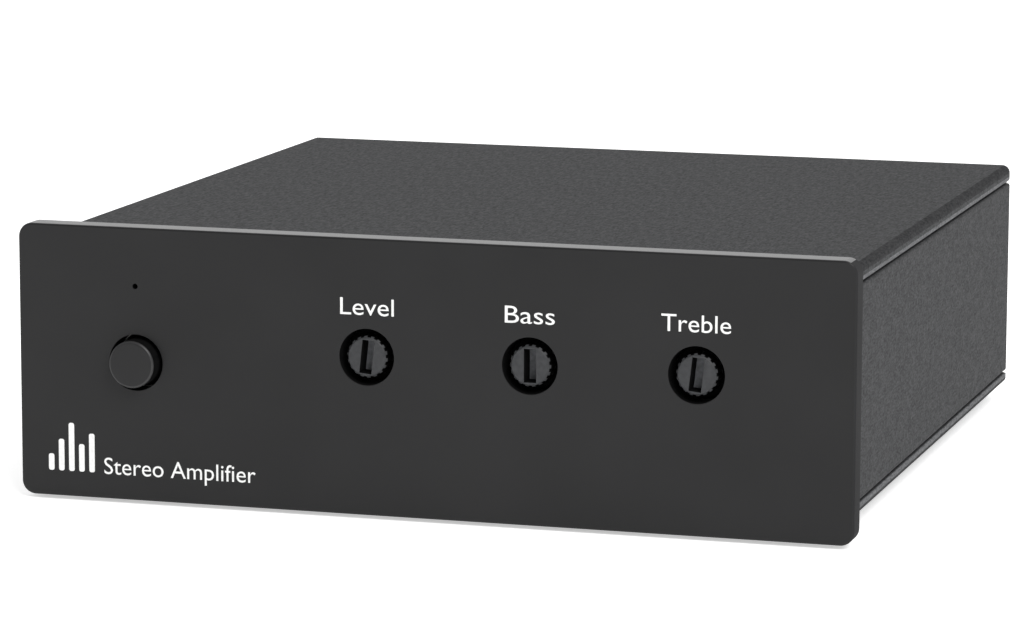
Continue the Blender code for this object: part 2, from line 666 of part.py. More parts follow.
# ---------------------------------------------------------------- front bracket and boards
def bracket_outline():
    """The bracket's sheet seen from the front: a rectangle with a tab at each screw channel."""
    tab_end = SIDE_INNER - CONTACT_GAP
    right = [(BRACKET_HALF_WIDTH, BRACKET_BOTTOM)]
    for z in CHANNEL_HEIGHTS:
        low, high = z - BRACKET_TAB_HALF_HEIGHT, z + BRACKET_TAB_HALF_HEIGHT
        right += [(BRACKET_HALF_WIDTH, low), (tab_end, low), (tab_end, high), (BRACKET_HALF_WIDTH, high)]
    right.append((BRACKET_HALF_WIDTH, BRACKET_TOP))
    return right + [(-x, z) for x, z in reversed(right)]


def make_front_bracket():
    bm = bmesh.new()
    add_prism(bm, bracket_outline(), CASE_FRONT, BRACKET_REAR)
    bracket = place("front_bracket", make_mesh("front_bracket", bm), "plated_steel")

    ears = bmesh.new()
    ear_low, ear_high = BRACKET_BOTTOM + OVERLAP, BRACKET_TOP - OVERLAP
    ear_front = CASE_FRONT + OVERLAP
    for side in (-1, 1):
        low_x, high_x = sorted((side * EAR_INNER, side * EAR_OUTER))
        add_box(ears, (low_x, ear_front, ear_low), (high_x, EAR_REAR, ear_high))
    join(bracket, ears)

    holes = bmesh.new()
    front, rear = CASE_FRONT - OVERLAP, BRACKET_REAR + OVERLAP
    for x in CONTROL_X.values():
        add_cylinder(holes, x, CONTROL_Z, BRACKET_HOLE_RADIUS, front, rear)
    add_cylinder(holes, BUTTON_X, BUTTON_Z, WINDOW_RADIUS, front, rear)
    add_cylinder(holes, BUTTON_X, LED_Z, LED_RADIUS + SOCKET_HOLE_GAP, front, rear, SCREW_SEGMENTS)
    for x, z in channel_centres() + [(x, CONTROL_Z) for x in PLATE_SCREW_X]:
        add_cylinder(holes, x, z, CHANNEL_RADIUS, front, rear, SCREW_SEGMENTS)
    for side in (-1, 1):
        low_x, high_x = sorted((side * (EAR_INNER - OVERLAP), side * (EAR_OUTER + OVERLAP)))
        add_box(
            holes,
            (low_x, CONTROL_BOARD_FRONT - BOARD_GAP, CASE_MIDDLE - EAR_SLOT_HALF_HEIGHT),
            (high_x, CONTROL_BOARD_REAR + BOARD_GAP, CASE_MIDDLE + EAR_SLOT_HALF_HEIGHT),
        )
    cut(bracket, holes)


def make_control_board():
    """The upright board behind the controls, with a tab at each end in the bracket's ears."""
    end = EAR_INNER - CONTACT_GAP
    tab = EAR_OUTER + CONTROL_BOARD_TAB
    tab_half = EAR_SLOT_HALF_HEIGHT - CONTACT_GAP
    bottom, top = BRACKET_BOTTOM + CONTACT_GAP, BRACKET_TOP
    right = [
        (end, bottom), (end, CASE_MIDDLE - tab_half), (tab, CASE_MIDDLE - tab_half),
        (tab, CASE_MIDDLE + tab_half), (end, CASE_MIDDLE + tab_half), (end, top),
    ]
    bm = bmesh.new()
    outline = right + [(-x, z) for x, z in reversed(right)]
    add_prism(bm, outline, CONTROL_BOARD_FRONT, CONTROL_BOARD_REAR)
    place("control_board", make_mesh("control_board", bm), "circuit_board")


def make_main_board():
    """The flat board, whose long edges run in the side panels' slots."""
    half = SIDE_INNER - CONTACT_GAP
    bm = bmesh.new()
    add_box(
        bm, (-half, MAIN_BOARD_FRONT, MAIN_BOARD_BOTTOM), (half, MAIN_BOARD_REAR, MAIN_BOARD_TOP)
    )
    place("main_board", make_mesh("main_board", bm), "circuit_board")


def make_board_connector():
    """The right-angle header that carries the control board's signals to the main board."""
    front = CONTROL_BOARD_REAR + CONTACT_GAP
    half = CONNECTOR_WIDTH / 2
    bm = bmesh.new()
    section = [
        (front, ON_BOARD), (front + CONNECTOR_DEPTH, ON_BOARD),
        (front + CONNECTOR_DEPTH, ON_BOARD + CONNECTOR_WALL),
        (front + CONNECTOR_WALL, ON_BOARD + CONNECTOR_WALL),
        (front + CONNECTOR_WALL, ON_BOARD + CONNECTOR_HEIGHT), (front, ON_BOARD + CONNECTOR_HEIGHT),
    ]
    face = bm.faces.new([bm.verts.new((-half, y, z)) for y, z in section])
    made = bmesh.ops.extrude_face_region(bm, geom=[face])["geom"]
    moved = [v for v in made if isinstance(v, bmesh.types.BMVert)]
    bmesh.ops.translate(bm, vec=(CONNECTOR_WIDTH, 0, 0), verts=moved)
    place("board_connector", make_mesh("board_connector", bm), "black_plastic")


# ---------------------------------------------------------------- rotary controls
def pot_body_mesh():
    """A potentiometer's case and bushing. Its origin is on the shaft's axis, at the plate's face."""
    bm = bmesh.new()
    half_x, half_z = POT_WIDTH / 2, POT_HEIGHT / 2
    add_box(bm, (-half_x, POT_FRONT, -half_z), (half_x, POT_REAR, half_z))
    upright = [e for e in bm.edges if abs(e.verts[0].co.y - e.verts[1].co.y) > POT_DEPTH / 2]
    bevel_edges(bm, upright, POT_EDGE_BEVEL, 1)
    return make_mesh("pot_body", bm)


def shaft_mesh():
    """A knurled shaft with a blind screwdriver slot. Its origin is on its axis, at the plate's face."""
    teeth = [SHAFT_RADIUS, SHAFT_RADIUS - SHAFT_ROOT_DEPTH] * SHAFT_TEETH
    plain = [JOURNAL_RADIUS] * len(teeth)
    tip = [radius - SHAFT_TIP_CHAMFER for radius in teeth]
    knurl_end = SHAFT_RECESS + SHAFT_KNURL_LENGTH
    journal_end = POT_REAR - 3 * CONTACT_GAP - OVERLAP
    bm = bmesh.new()
    add_loft(
        bm,
        [
            ring_points(tip, SHAFT_RECESS), ring_points(teeth, SHAFT_RECESS + SHAFT_TIP_CHAMFER),
            ring_points(teeth, knurl_end), ring_points(plain, knurl_end + SHAFT_TIP_CHAMFER),
            ring_points(plain, journal_end),
        ],
    )
    return make_mesh("control_shaft", bm)


def make_rotary_controls():
    body_mesh = pot_body_mesh()
    bore_radius = JOURNAL_RADIUS + JOURNAL_CLEARANCE
    for name, x in CONTROL_X.items():
        location = (x, 0, CONTROL_Z)
        body = place(f"{name}_pot_body", body_mesh.copy(), "plated_steel", location)
        bushing_front = POT_FRONT - POT_BUSHING_LENGTH
        bushing = bmesh.new()
        add_cylinder(bushing, 0, 0, POT_BUSHING_RADIUS, bushing_front, POT_FRONT + OVERLAP, TURNED_SEGMENTS)
        join(body, bushing)
        bore = bmesh.new()
        bore_end = POT_REAR - 2 * CONTACT_GAP
        add_cylinder(bore, 0, 0, bore_radius, bushing_front - OVERLAP, bore_end, WINDOW_SEGMENTS)
        cut(body, bore)

        tilt = (0, math.radians(SLOT_TILTS[name]), 0)
        shaft = place(f"{name}_shaft", shaft_mesh(), "shaft_grey", location, tilt)
        slot = bmesh.new()
        add_box(
            slot,
            (-SLOT_WIDTH / 2, SHAFT_RECESS - OVERLAP, -SLOT_LENGTH / 2),
            (SLOT_WIDTH / 2, SHAFT_RECESS + SLOT_DEPTH, SLOT_LENGTH / 2),
        )
        cut(shaft, slot)


# ---------------------------------------------------------------- power button and status light
def make_power_button():
    """The cap, the plunger in its back, and the switch on the control board."""
    flange_front = BRACKET_REAR + CONTACT_GAP
    cap_rear = flange_front + BUTTON_FLANGE
    front = -BUTTON_PROUD
    socket_radius = PLUNGER_RADIUS + CONTACT_GAP
    socket_end = cap_rear - PLUNGER_SOCKET_DEPTH
    edge = arc(
        (BUTTON_RADIUS - BUTTON_EDGE_RADIUS, front + BUTTON_EDGE_RADIUS), BUTTON_EDGE_RADIUS, -90, 0,
        SMALL_ARC_STEPS,
    )
    bm = bmesh.new()
    add_turned(
        bm,
        [(0, front)] + edge + [
            (BUTTON_RADIUS, flange_front), (BUTTON_FLANGE_RADIUS, flange_front),
            (BUTTON_FLANGE_RADIUS, cap_rear), (socket_radius, cap_rear),
            (socket_radius, socket_end), (0, socket_end),
        ],
        WINDOW_SEGMENTS,
    )
    location = (BUTTON_X, 0, BUTTON_Z)
    place("power_button_cap", make_mesh("power_button_cap", bm), "black_anodised", location)

    switch_rear = CONTROL_BOARD_FRONT - CONTACT_GAP
    switch_front = switch_rear - SWITCH_DEPTH
    bm = bmesh.new()
    add_turned(
        bm,
        [
            (0, socket_end + CONTACT_GAP), (PLUNGER_RADIUS, socket_end + CONTACT_GAP),
            (PLUNGER_RADIUS, switch_front + SWITCH_ENGAGEMENT), (0, switch_front + SWITCH_ENGAGEMENT),
        ],
        HOLE_SEGMENTS,
    )
    place("power_switch_plunger", make_mesh("power_switch_plunger", bm), "black_plastic", location)

    half = SWITCH_SIDE / 2
    bm = bmesh.new()
    add_box(bm, (-half, switch_front, -half), (half, switch_rear, half))
    switch = place("power_switch_body", make_mesh("power_switch_body", bm), "black_plastic", location)
    bore = bmesh.new()
    bore_radius = PLUNGER_RADIUS + CONTACT_GAP
    bore_end = switch_front + SWITCH_ENGAGEMENT + BUTTON_TRAVEL + CONTACT_GAP
    add_cylinder(bore, 0, 0, bore_radius, switch_front - OVERLAP, bore_end)
    cut(switch, bore)


def make_status_led():
    """A domed light that shines through the small hole above the button."""
    rear = CONTROL_BOARD_FRONT - CONTACT_GAP
    tip = rear - LED_LENGTH
    dome = arc((0, tip + LED_RADIUS), LED_RADIUS, -90, 0, ARC_STEPS)
    bm = bmesh.new()
    add_turned(
        bm,
        dome
        + [
            (LED_RADIUS, rear - LED_RIM), (LED_RIM_RADIUS, rear - LED_RIM), (LED_RIM_RADIUS, rear),
            (0, rear),
        ],
        SCREW_SEGMENTS,
    )
    place("status_led", make_mesh("status_led", bm), "led_lens", (BUTTON_X, 0, LED_Z))


# ---------------------------------------------------------------- parts on the main board
def make_amplifier_chip():
    width, depth, height = CHIP_SIZE
    x, y = -HEATSINK_LEFT_OF_MIDDLE, BOARD_MIDDLE_Y
    bm = bmesh.new()
    add_box(
        bm, (x - width / 2, y - depth / 2, ON_BOARD), (x + width / 2, y + depth / 2, ON_BOARD + height)
    )
    place("amplifier_chip", make_mesh("amplifier_chip", bm), "chip_black")


def make_heatsink():
    """A comb of fins that sits on the amplifier chip."""
    width, depth, height = HEATSINK_SIZE
    bottom = ON_BOARD + CHIP_SIZE[2] + CONTACT_GAP
    left = -HEATSINK_LEFT_OF_MIDDLE - width / 2
    step = (width - HEATSINK_FIN) / (HEATSINK_FINS - 1)
    outline = [(left, bottom), (left + width, bottom)]
    for i in reversed(range(HEATSINK_FINS)):
        fin = left + i * step
        outline += [(fin + HEATSINK_FIN, bottom + height), (fin, bottom + height)]
        if i:
            gap_end = fin - step + HEATSINK_FIN
            outline += [(fin, bottom + HEATSINK_BASE), (gap_end, bottom + HEATSINK_BASE)]
    bm = bmesh.new()
    add_prism(bm, outline, BOARD_MIDDLE_Y - depth / 2, BOARD_MIDDLE_Y + depth / 2)
    place("heatsink", make_mesh("heatsink", bm), "bare_aluminium")


def make_capacitors():
    """Two reservoir capacitors, standing, each with the groove rolled into its can."""
    radius, groove, rise = CAPACITOR_RADIUS, CAPACITOR_GROOVE, CAPACITOR_GROOVE_RISE
    bm = bmesh.new()
    add_turned(
        bm,
        [
            (0, 0), (radius, 0), (radius, rise - groove), (radius - groove, rise),
            (radius, rise + groove), (radius, CAPACITOR_HEIGHT - groove),
            (radius - groove, CAPACITOR_HEIGHT), (0, CAPACITOR_HEIGHT),
        ],
    )
    mesh = make_mesh("reservoir_capacitor", bm)
    upright = (math.pi / 2, 0, 0)
    for i, end in enumerate(("front", "rear")):
        y = BOARD_MIDDLE_Y + (i - 0.5) * CAPACITOR_PITCH
        location = (CAPACITOR_RIGHT_OF_MIDDLE, y, ON_BOARD)
        place(f"reservoir_capacitor_{end}", mesh, "capacitor_sleeve", location, upright)


def make_inductors():
    width, depth, height = INDUCTOR_SIZE
    bm = bmesh.new()
    add_box(bm, (-width / 2, -depth / 2, 0), (width / 2, depth / 2, height))
    upright = [e for e in bm.edges if abs(e.verts[0].co.z - e.verts[1].co.z) > height / 2]
    bevel_edges(bm, upright, INDUCTOR_BEVEL, 1)
    mesh = make_mesh("output_inductor", bm)
    y = MAIN_BOARD_REAR - INDUCTOR_FROM_REAR
    first = (POST_X[0] + POST_X[1]) / 2
    for i, channel in enumerate(("right", "left")):
        location = (first + i * INDUCTOR_PITCH, y, ON_BOARD)
        place(f"output_inductor_{channel}", mesh, "ferrite", location)


# ---------------------------------------------------------------- rear sockets
def make_jack(name, x, z, body, nose_radius, bore_radius, bore_depth, pin_radius=0.0):
    """A board-mounted jack: its body on the board, its round nose level with the rear plate."""
    width, depth, height = body
    half, front = width / 2, JACK_BODY_REAR - depth
    bm = bmesh.new()
    add_box(bm, (x - half, front, ON_BOARD), (x + half, JACK_BODY_REAR, ON_BOARD + height))
    jack = place(name, make_mesh(name, bm), "black_plastic")
    nose = bmesh.new()
    add_cylinder(nose, x, z, nose_radius, JACK_BODY_REAR - OVERLAP, REAR_PLATE_REAR)
    join(jack, nose)
    bore_end = REAR_PLATE_REAR - bore_depth
    bore = bmesh.new()
    mouth = REAR_PLATE_REAR + OVERLAP
    if pin_radius:
        pin_end = REAR_PLATE_REAR - POWER_PIN_SETBACK
        add_turned(
            bore,
            [
                (0, pin_end), (pin_radius, pin_end), (pin_radius, bore_end), (bore_radius, bore_end),
                (bore_radius, mouth), (0, mouth),
            ],
            HOLE_SEGMENTS,
        )
        bmesh.ops.translate(bore, vec=(x, 0, z), verts=bore.verts)
    else:
        add_cylinder(bore, x, z, bore_radius, bore_end, mouth)
    cut(jack, bore)


def make_rca_sockets():
    """One moulded body with two insulating cores, and a plated sleeve round each core."""
    half = RCA_BODY_WIDTH / 2
    bm = bmesh.new()
    add_box(
        bm,
        (RCA_X - half, RCA_BODY_REAR - RCA_BODY_DEPTH, ON_BOARD),
        (RCA_X + half, RCA_BODY_REAR, RCA_Z["left"] + RCA_FLANGE_RADIUS),
    )
    body = place("rca_socket_body", make_mesh("rca_socket_body", bm), "black_plastic")
    inner_radius = RCA_SLEEVE_RADIUS - RCA_SLEEVE_WALL
    sleeve_end = REAR_PLATE_REAR + RCA_SLEEVE_LENGTH
    core_end = sleeve_end - RCA_CORE_SETBACK
    cores, bores = bmesh.new(), bmesh.new()
    for z in RCA_Z.values():
        add_cylinder(cores, RCA_X, z, inner_radius - RCA_CORE_GAP, RCA_BODY_REAR - OVERLAP, core_end)
        add_cylinder(
            bores, RCA_X, z, RCA_PIN_RADIUS, core_end - RCA_PIN_DEPTH, core_end + OVERLAP, SCREW_SEGMENTS
        )
    join(body, cores)
    cut(body, bores)

    flange_front = RCA_BODY_REAR + CONTACT_GAP
    flange_rear = flange_front + RCA_FLANGE
    for channel, z in RCA_Z.items():
        bm = bmesh.new()
        add_turned(
            bm,
            [
                (inner_radius, flange_front), (RCA_FLANGE_RADIUS, flange_front),
                (RCA_FLANGE_RADIUS, flange_rear), (RCA_SLEEVE_RADIUS, flange_rear),
                (RCA_SLEEVE_RADIUS, sleeve_end), (inner_radius, sleeve_end),
            ],
            ring=True,
        )
        name = f"rca_sleeve_{channel}"
        place(name, make_mesh(name, bm), "gold_plate", (RCA_X, 0, z))


def make_terminal_bases():
    """Each moulded base insulates a channel's two posts from the rear plate."""
    for i, channel in enumerate(("right", "left")):
        first, second = POST_X[2 * i], POST_X[2 * i + 1]
        outline = rounded_rectangle(
            (first - BASE_END_MARGIN, POST_Z - BASE_HEIGHT / 2),
            (second + BASE_END_MARGIN, POST_Z + BASE_HEIGHT / 2),
            BASE_CORNER_RADIUS, SMALL_ARC_STEPS,
        )
        bm = bmesh.new()
        add_prism(bm, outline, BASE_FRONT, BASE_REAR)
        name = f"terminal_base_{channel}"
        base = place(name, make_mesh(name, bm), "black_plastic")
        bushes, bores = bmesh.new(), bmesh.new()
        bush_front = BASE_FRONT - BUSH_LENGTH
        for x in (first, second):
            add_cylinder(bushes, x, POST_Z, BUSH_RADIUS, bush_front, BASE_FRONT + OVERLAP)
            bore_radius = POST_RADIUS + CONTACT_GAP
            add_cylinder(bores, x, POST_Z, bore_radius, bush_front - OVERLAP, BASE_REAR + OVERLAP)
        join(base, bushes)
        cut(base, bores)


def post_mesh():
    """A plated post: solder pin, stud, shoulder, and a threaded end bored for a 4 mm plug."""
    stud_front = SHOULDER_FRONT - BASE_PLATE - POST_STUD_LENGTH
    pin_front = stud_front - POST_PIN_LENGTH
    bore_end = POST_END - POST_BORE_DEPTH
    bm = bmesh.new()
    add_turned(
        bm,
        [
            (0, pin_front), (POST_PIN_RADIUS, pin_front), (POST_PIN_RADIUS, stud_front),
            (POST_RADIUS, stud_front), (POST_RADIUS, SHOULDER_FRONT),
            (POST_SHOULDER_RADIUS, SHOULDER_FRONT), (POST_SHOULDER_RADIUS, SHOULDER_REAR),
            (POST_RADIUS, SHOULDER_REAR), (POST_RADIUS, POST_END), (POST_BORE_RADIUS, POST_END),
            (POST_BORE_RADIUS, bore_end), (0, bore_end),
        ],
        HOLE_SEGMENTS,
    )
    return make_mesh("terminal_post", bm)


def washer_mesh():
    """The captive washer that rides with a thumb nut but does not turn."""
    inner = POST_RADIUS + POST_THREAD_CLEARANCE
    rear = WASHER_FRONT + WASHER
    bm = bmesh.new()
    profile = [(inner, WASHER_FRONT), (WASHER_RADIUS, WASHER_FRONT), (WASHER_RADIUS, rear), (inner, rear)]
    add_turned(bm, profile, HOLE_SEGMENTS, ring=True)
    return make_mesh("clamp_washer", bm)


def thumb_nut_mesh():
    """A fluted cap round the post's thread."""
    crest, flute = THUMB_NUT_RADIUS, THUMB_NUT_RADIUS - THUMB_NUT_FLUTE_DEPTH
    outer = [crest, flute] * THUMB_NUT_FLUTES
    eased = [radius - THUMB_NUT_CHAMFER for radius in outer]
    inner = [POST_RADIUS + POST_THREAD_CLEARANCE] * len(outer)
    rings = [
        ring_points(inner, NUT_FRONT), ring_points(eased, NUT_FRONT),
        ring_points(outer, NUT_FRONT + THUMB_NUT_CHAMFER),
        ring_points(outer, NUT_REAR - THUMB_NUT_CHAMFER),
        ring_points(eased, NUT_REAR), ring_points(inner, NUT_REAR),
    ]
    bm = bmesh.new()
    add_loft(bm, rings, tube=True)
    return make_mesh("thumb_nut", bm)


def make_terminals():
    post, washer = post_mesh(), washer_mesh()
    nuts = {"negative": thumb_nut_mesh(), "positive": thumb_nut_mesh()}
    plastics = {"negative": "black_plastic", "positive": "red_plastic"}
    for name, x in zip(POST_NAMES, POST_X):
        polarity = name.split("_")[1]
        location = (x, 0, POST_Z)
        place(f"terminal_post_{name}", post, "gold_plate", location)
        place(f"clamp_washer_{name}", washer, "gold_plate", location)
        place(f"thumb_nut_{name}", nuts[polarity], plastics[polarity], location)


# ---------------------------------------------------------------- the whole amplifier
clear_scene()
materials = {name: make_material(name) for name in FINISHES}
frame = bpy.data.objects.new("amplifier", None)
frame.location = (0, -OVERALL_MIDDLE_Y, 0)
bpy.context.scene.collection.objects.link(frame)

make_front_plate()
make_cover("top_cover", CASE_TOP, -1, TOP_EDGE_HEIGHT, TOP_SHEET, TOP_OUTER_RADIUS)
make_cover("bottom_cover", CASE_BOTTOM, 1, BOTTOM_EDGE_HEIGHT, BOTTOM_SHEET, BOTTOM_OUTER_RADIUS)
make_side_panel("side_panel_left", -1)
make_side_panel("side_panel_right", 1)
make_rear_plate()
make_feet()
make_screws()
make_front_bracket()
make_control_board()
make_main_board()
make_board_connector()
make_rotary_controls()
make_power_button()
make_status_led()
make_amplifier_chip()
make_heatsink()
make_capacitors()
make_inductors()
make_jack(
    "trigger_jack", TRIGGER_X, TRIGGER_Z, TRIGGER_BODY, TRIGGER_NOSE_RADIUS, TRIGGER_BORE_RADIUS,
    TRIGGER_BORE_DEPTH,
)
make_jack(
    "power_jack", POWER_X, POWER_Z, POWER_BODY, POWER_NOSE_RADIUS, POWER_BORE_RADIUS,
    POWER_BORE_DEPTH, POWER_PIN_RADIUS,
)
make_rca_sockets()
make_terminal_bases()
make_terminals()
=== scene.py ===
"""Looks of the compact stereo amplifier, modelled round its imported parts.

Metres, +Z up, front plate facing -Y, standing on Z = 0. Each outer piece is modelled here with its
fine edges and finish, at the size and place of the part that it stands for. The pieces inside the
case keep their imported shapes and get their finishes.
"""

import json
import math

import bmesh
import bpy
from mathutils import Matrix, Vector


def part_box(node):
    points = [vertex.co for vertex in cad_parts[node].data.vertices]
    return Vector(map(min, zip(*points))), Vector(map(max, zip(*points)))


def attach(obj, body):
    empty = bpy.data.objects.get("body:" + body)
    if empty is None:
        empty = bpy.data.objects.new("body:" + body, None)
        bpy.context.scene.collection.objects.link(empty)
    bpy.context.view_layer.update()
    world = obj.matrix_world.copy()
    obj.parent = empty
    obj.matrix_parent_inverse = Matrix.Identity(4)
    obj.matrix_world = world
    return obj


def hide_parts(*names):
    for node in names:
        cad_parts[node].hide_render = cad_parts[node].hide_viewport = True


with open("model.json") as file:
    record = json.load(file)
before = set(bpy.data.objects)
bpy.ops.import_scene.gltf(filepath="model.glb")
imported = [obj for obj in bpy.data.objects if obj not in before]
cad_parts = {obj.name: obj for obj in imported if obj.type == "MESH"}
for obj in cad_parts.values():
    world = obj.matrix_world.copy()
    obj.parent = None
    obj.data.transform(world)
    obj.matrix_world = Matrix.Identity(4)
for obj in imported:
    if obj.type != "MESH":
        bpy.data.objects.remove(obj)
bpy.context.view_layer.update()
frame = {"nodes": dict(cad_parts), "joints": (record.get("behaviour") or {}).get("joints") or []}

# ---------------------------------------------------------------- sizes of the fine shape
SAME = 2e-6               # places closer than this are one place
CONTACT_GAP = 0.0003      # between faces that rest on each other
OVERLAP = 0.0004          # how far a cutter or a joined shape runs past a face
SMOOTH = 96               # sides of a large round piece
FINE = 48                 # sides of a small one
SMOOTH_ANGLE = math.radians(32)

PLATE_CORNER = 0.0020
PLATE_FRONT_EDGE = 0.0003
PLATE_REAR_EDGE = 0.00012
HOLE_EDGE = 0.00010
WINDOW_RADIUS = 0.0040
LED_HOLE_RADIUS = 0.0004
HEAD_POCKET_DEPTH = 0.0022
HEAD_POCKET_RADIUS = 0.00305
TAPPED_DEPTH = 0.0023

SHANK_RADIUS = 0.0014
SHANK_HOLE_RADIUS = 0.0017
HEAD_HEIGHT = 0.0018
HEAD_CROWN = 0.0006
HEX_RADIUS = 0.00125
HEX_DEPTH = 0.0010

TOP_COVER = {"edge_height": 0.0026, "outer_radius": 0.0012, "sheet": 0.0018}
BOTTOM_COVER = {"edge_height": 0.0016, "outer_radius": 0.0008, "sheet": 0.0014}
COVER_LIP_EDGE = 0.0005
LIP_HIGHLIGHT_HEIGHT = 0.00072      # the lip's lower part, where a paler coat paints the highlight of the floor's reflection
HOOK_WEB = 0.0012
HOOK_FOOT = 0.0011
SLIDE_GAP = 0.0004
SIDE_WALL = 0.0020
SIDE_EDGE = 0.0004
FLANGE = 0.0012
FLANGE_REACH = 0.0026
RIB = 0.0010
RIB_REACH = 0.0022
BOARD_GAP = 0.0001
CHANNEL_RADIUS = 0.0028
CHANNEL_MOUTH = 0.0014
CHANNEL_SETBACK = 0.0015
SAWN_EDGE = 0.00012       # broken edge where the extrusions are cut to length

FOOT_ROUNDING = 0.0006
FOOT_DISH_RADIUS = 0.0036
FOOT_DISH_DEPTH = 0.0006

TEETH = 18
TOOTH_HEIGHT = 0.00018
KNURL_LENGTH = 0.0034
KNURL_CHAMFER = 0.00035
JOURNAL_RADIUS = 0.0029
SLOT_WIDTH = 0.00175
SLOT_LENGTH = 0.0047
SLOT_DEPTH = 0.0029
SLOT_EDGE = 0.00007

BUTTON_RADIUS = 0.0034
BUTTON_EDGE = 0.00042
BUTTON_FLANGE = 0.0010
BUTTON_SOCKET_RADIUS = 0.0019
BUTTON_SOCKET_DEPTH = 0.0020

REAR_CORNER = 0.0012
SOCKET_GAP = 0.0004
BUSH_RADIUS = 0.0046
BASE_CORNER = 0.0030
BASE_EDGE = 0.0005
POST_RADIUS = 0.0030
POST_BORE_RADIUS = 0.00205
POST_BORE_DEPTH = 0.0135
POST_SHOULDER = 0.0014
POST_SHOULDER_RADIUS = 0.0045
POST_PIN_RADIUS = 0.0012
POST_PIN_LENGTH = 0.0045
BASE_PLATE = 0.0025
THREAD_PITCH = 0.00075
THREAD_DEPTH = 0.00022
NUT_BORE_RADIUS = 0.0033
NUT_END_EDGE = 0.0006
NUT_FLUTES = 12
NUT_FLUTE_DEPTH = 0.0005
NUT_COUNTERBORE_RADIUS = 0.0045
NUT_COUNTERBORE_DEPTH = 0.0010

SLEEVE_WALL = 0.0006
SLEEVE_FLANGE = 0.0008
SLEEVE_RADIUS = 0.00415
CORE_GAP = 0.00035
CORE_SETBACK = 0.0006
CORE_BORE_RADIUS = 0.0016
CORE_BORE_DEPTH = 0.0085
CONTACT_WALL = 0.00025
PHONO_CONTACT_SETBACK = 0.0007
TRIGGER_CONTACT_SETBACK = 0.0016
INSERT_SETBACK = 0.0003
MOULDED_EDGE = 0.0004     # rounding of the jacks' bodies
PHONO_BODY_EDGE = 0.0005
BORE_EDGE = 0.00025
SLEEVE_EDGE = 0.00022
CORE_EDGE = 0.0003
SMALL_EDGE = 0.0002
THIN_EDGE = 0.00015
TRIGGER_RISE = 0.0050     # the jack's axis over its board
TRIGGER_NOSE_RADIUS = 0.0029
TRIGGER_BORE_RADIUS = 0.0018
TRIGGER_BORE_DEPTH = 0.0110
POWER_RISE = 0.0064
POWER_NOSE_RADIUS = 0.0042
POWER_BORE_RADIUS = 0.0032
POWER_BORE_DEPTH = 0.0095
POWER_PIN_RADIUS = 0.0010
POWER_PIN_SETBACK = 0.0010

INK = 0.00002             # how far the printing stands off its face
CAP_SHARE = 0.682         # height of a capital as a share of the type's size
INK_SPREAD = -0.001       # how much the printed strokes swell, as a share of the type's size
LABEL_BASE = 0.02898
LABEL_CAPITAL = 0.00238
LABELS = {"Level": (-0.01266, 0.00788), "Bass": (0.01135, 0.00719), "Treble": (0.03370, 0.00982)}
KIND_START = -0.0483      # the words at the lower left, right of the mark
KIND_BASE = 0.0041
KIND_CAPITAL = 0.00235
MARK_LEFT = -0.0568
MARK_BASE = 0.0042
MARK_PITCH = 0.00155
MARK_BAR_WIDTH = 0.00085
MARK_BAR_HEIGHTS = (0.0024, 0.0046, 0.0070, 0.0040, 0.0056)
MARK_BAR_EDGE = 0.0003
REAR_CAPITAL = 0.0016
SIGN_CAPITAL = 0.0020
SIGN_RISE = 0.0012        # signs and channel words over the terminals' bases
CHANNEL_WORD_RISE = 0.0046
LETTER_ASIDE = 0.0070
INPUT_WORD_BASE = 0.0334
TRIGGER_WORD_RISE = 0.0046
POWER_WORD_RISE = 0.0058

GRAIN_ALONG = (1, 0.32, 1)    # the coat's grain runs a little along the case

LENS = 157.62
SENSOR = 36.0
NEAREST = 0.01
CAMERA_PLACE = (0.1904, -0.65835, 0.1315)
CAMERA_DEGREES = (80.6526, -0.1432, 16.7519)
FLOOR_SIZE = 12.0
FLOOR_DROP = 0.00005
FLOOR_GLOW = 0.50         # a lit table: the floor stays white close to the feet
ROOM_BEHIND = 1.05        # how bright the white walls are behind the amplifier
ROOM_IN_FRONT = 0.25      # and behind the camera
ROOM_START, ROOM_END = -0.9, 0.3    # where along Y the walls brighten
KEY_PLACE = (0.62, -0.70, 0.80)
KEY_TARGET = (0, 0, 0.02)
KEY_SIZE = 0.60
KEY_POWER = 9.0

# ---------------------------------------------------------------- places, from the frame
PLATE_LOW, PLATE_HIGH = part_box("front_plate")
REAR_LOW, REAR_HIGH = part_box("rear_plate")
PANEL_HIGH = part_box("side_panel_right")[1]
BOARD_LOW, BOARD_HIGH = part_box("main_board")
FACE = PLATE_LOW.y
SIDES = ("left", "right")
CONTROLS = ("level", "bass", "treble")
POSTS = ("right_negative", "right_positive", "left_positive", "left_negative")


def centre_of(node):
    low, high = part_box(node)
    return (low + high) / 2


SCREW_PLACES = [centre_of(f"rear_screw_{s}_{h}") for s in SIDES for h in ("low", "high")]
HOLE_PLACES = {name: centre_of(f"{name}_pot_body") for name in CONTROLS}
BUTTON_PLACE = centre_of("power_button_cap")
LED_PLACE = centre_of("status_led")


def near(a, b):
    return abs(a - b) < SAME


def off_axis(point, centre):
    """How far a point is from a line along Y."""
    return math.hypot(point.x - centre.x, point.z - centre.z)


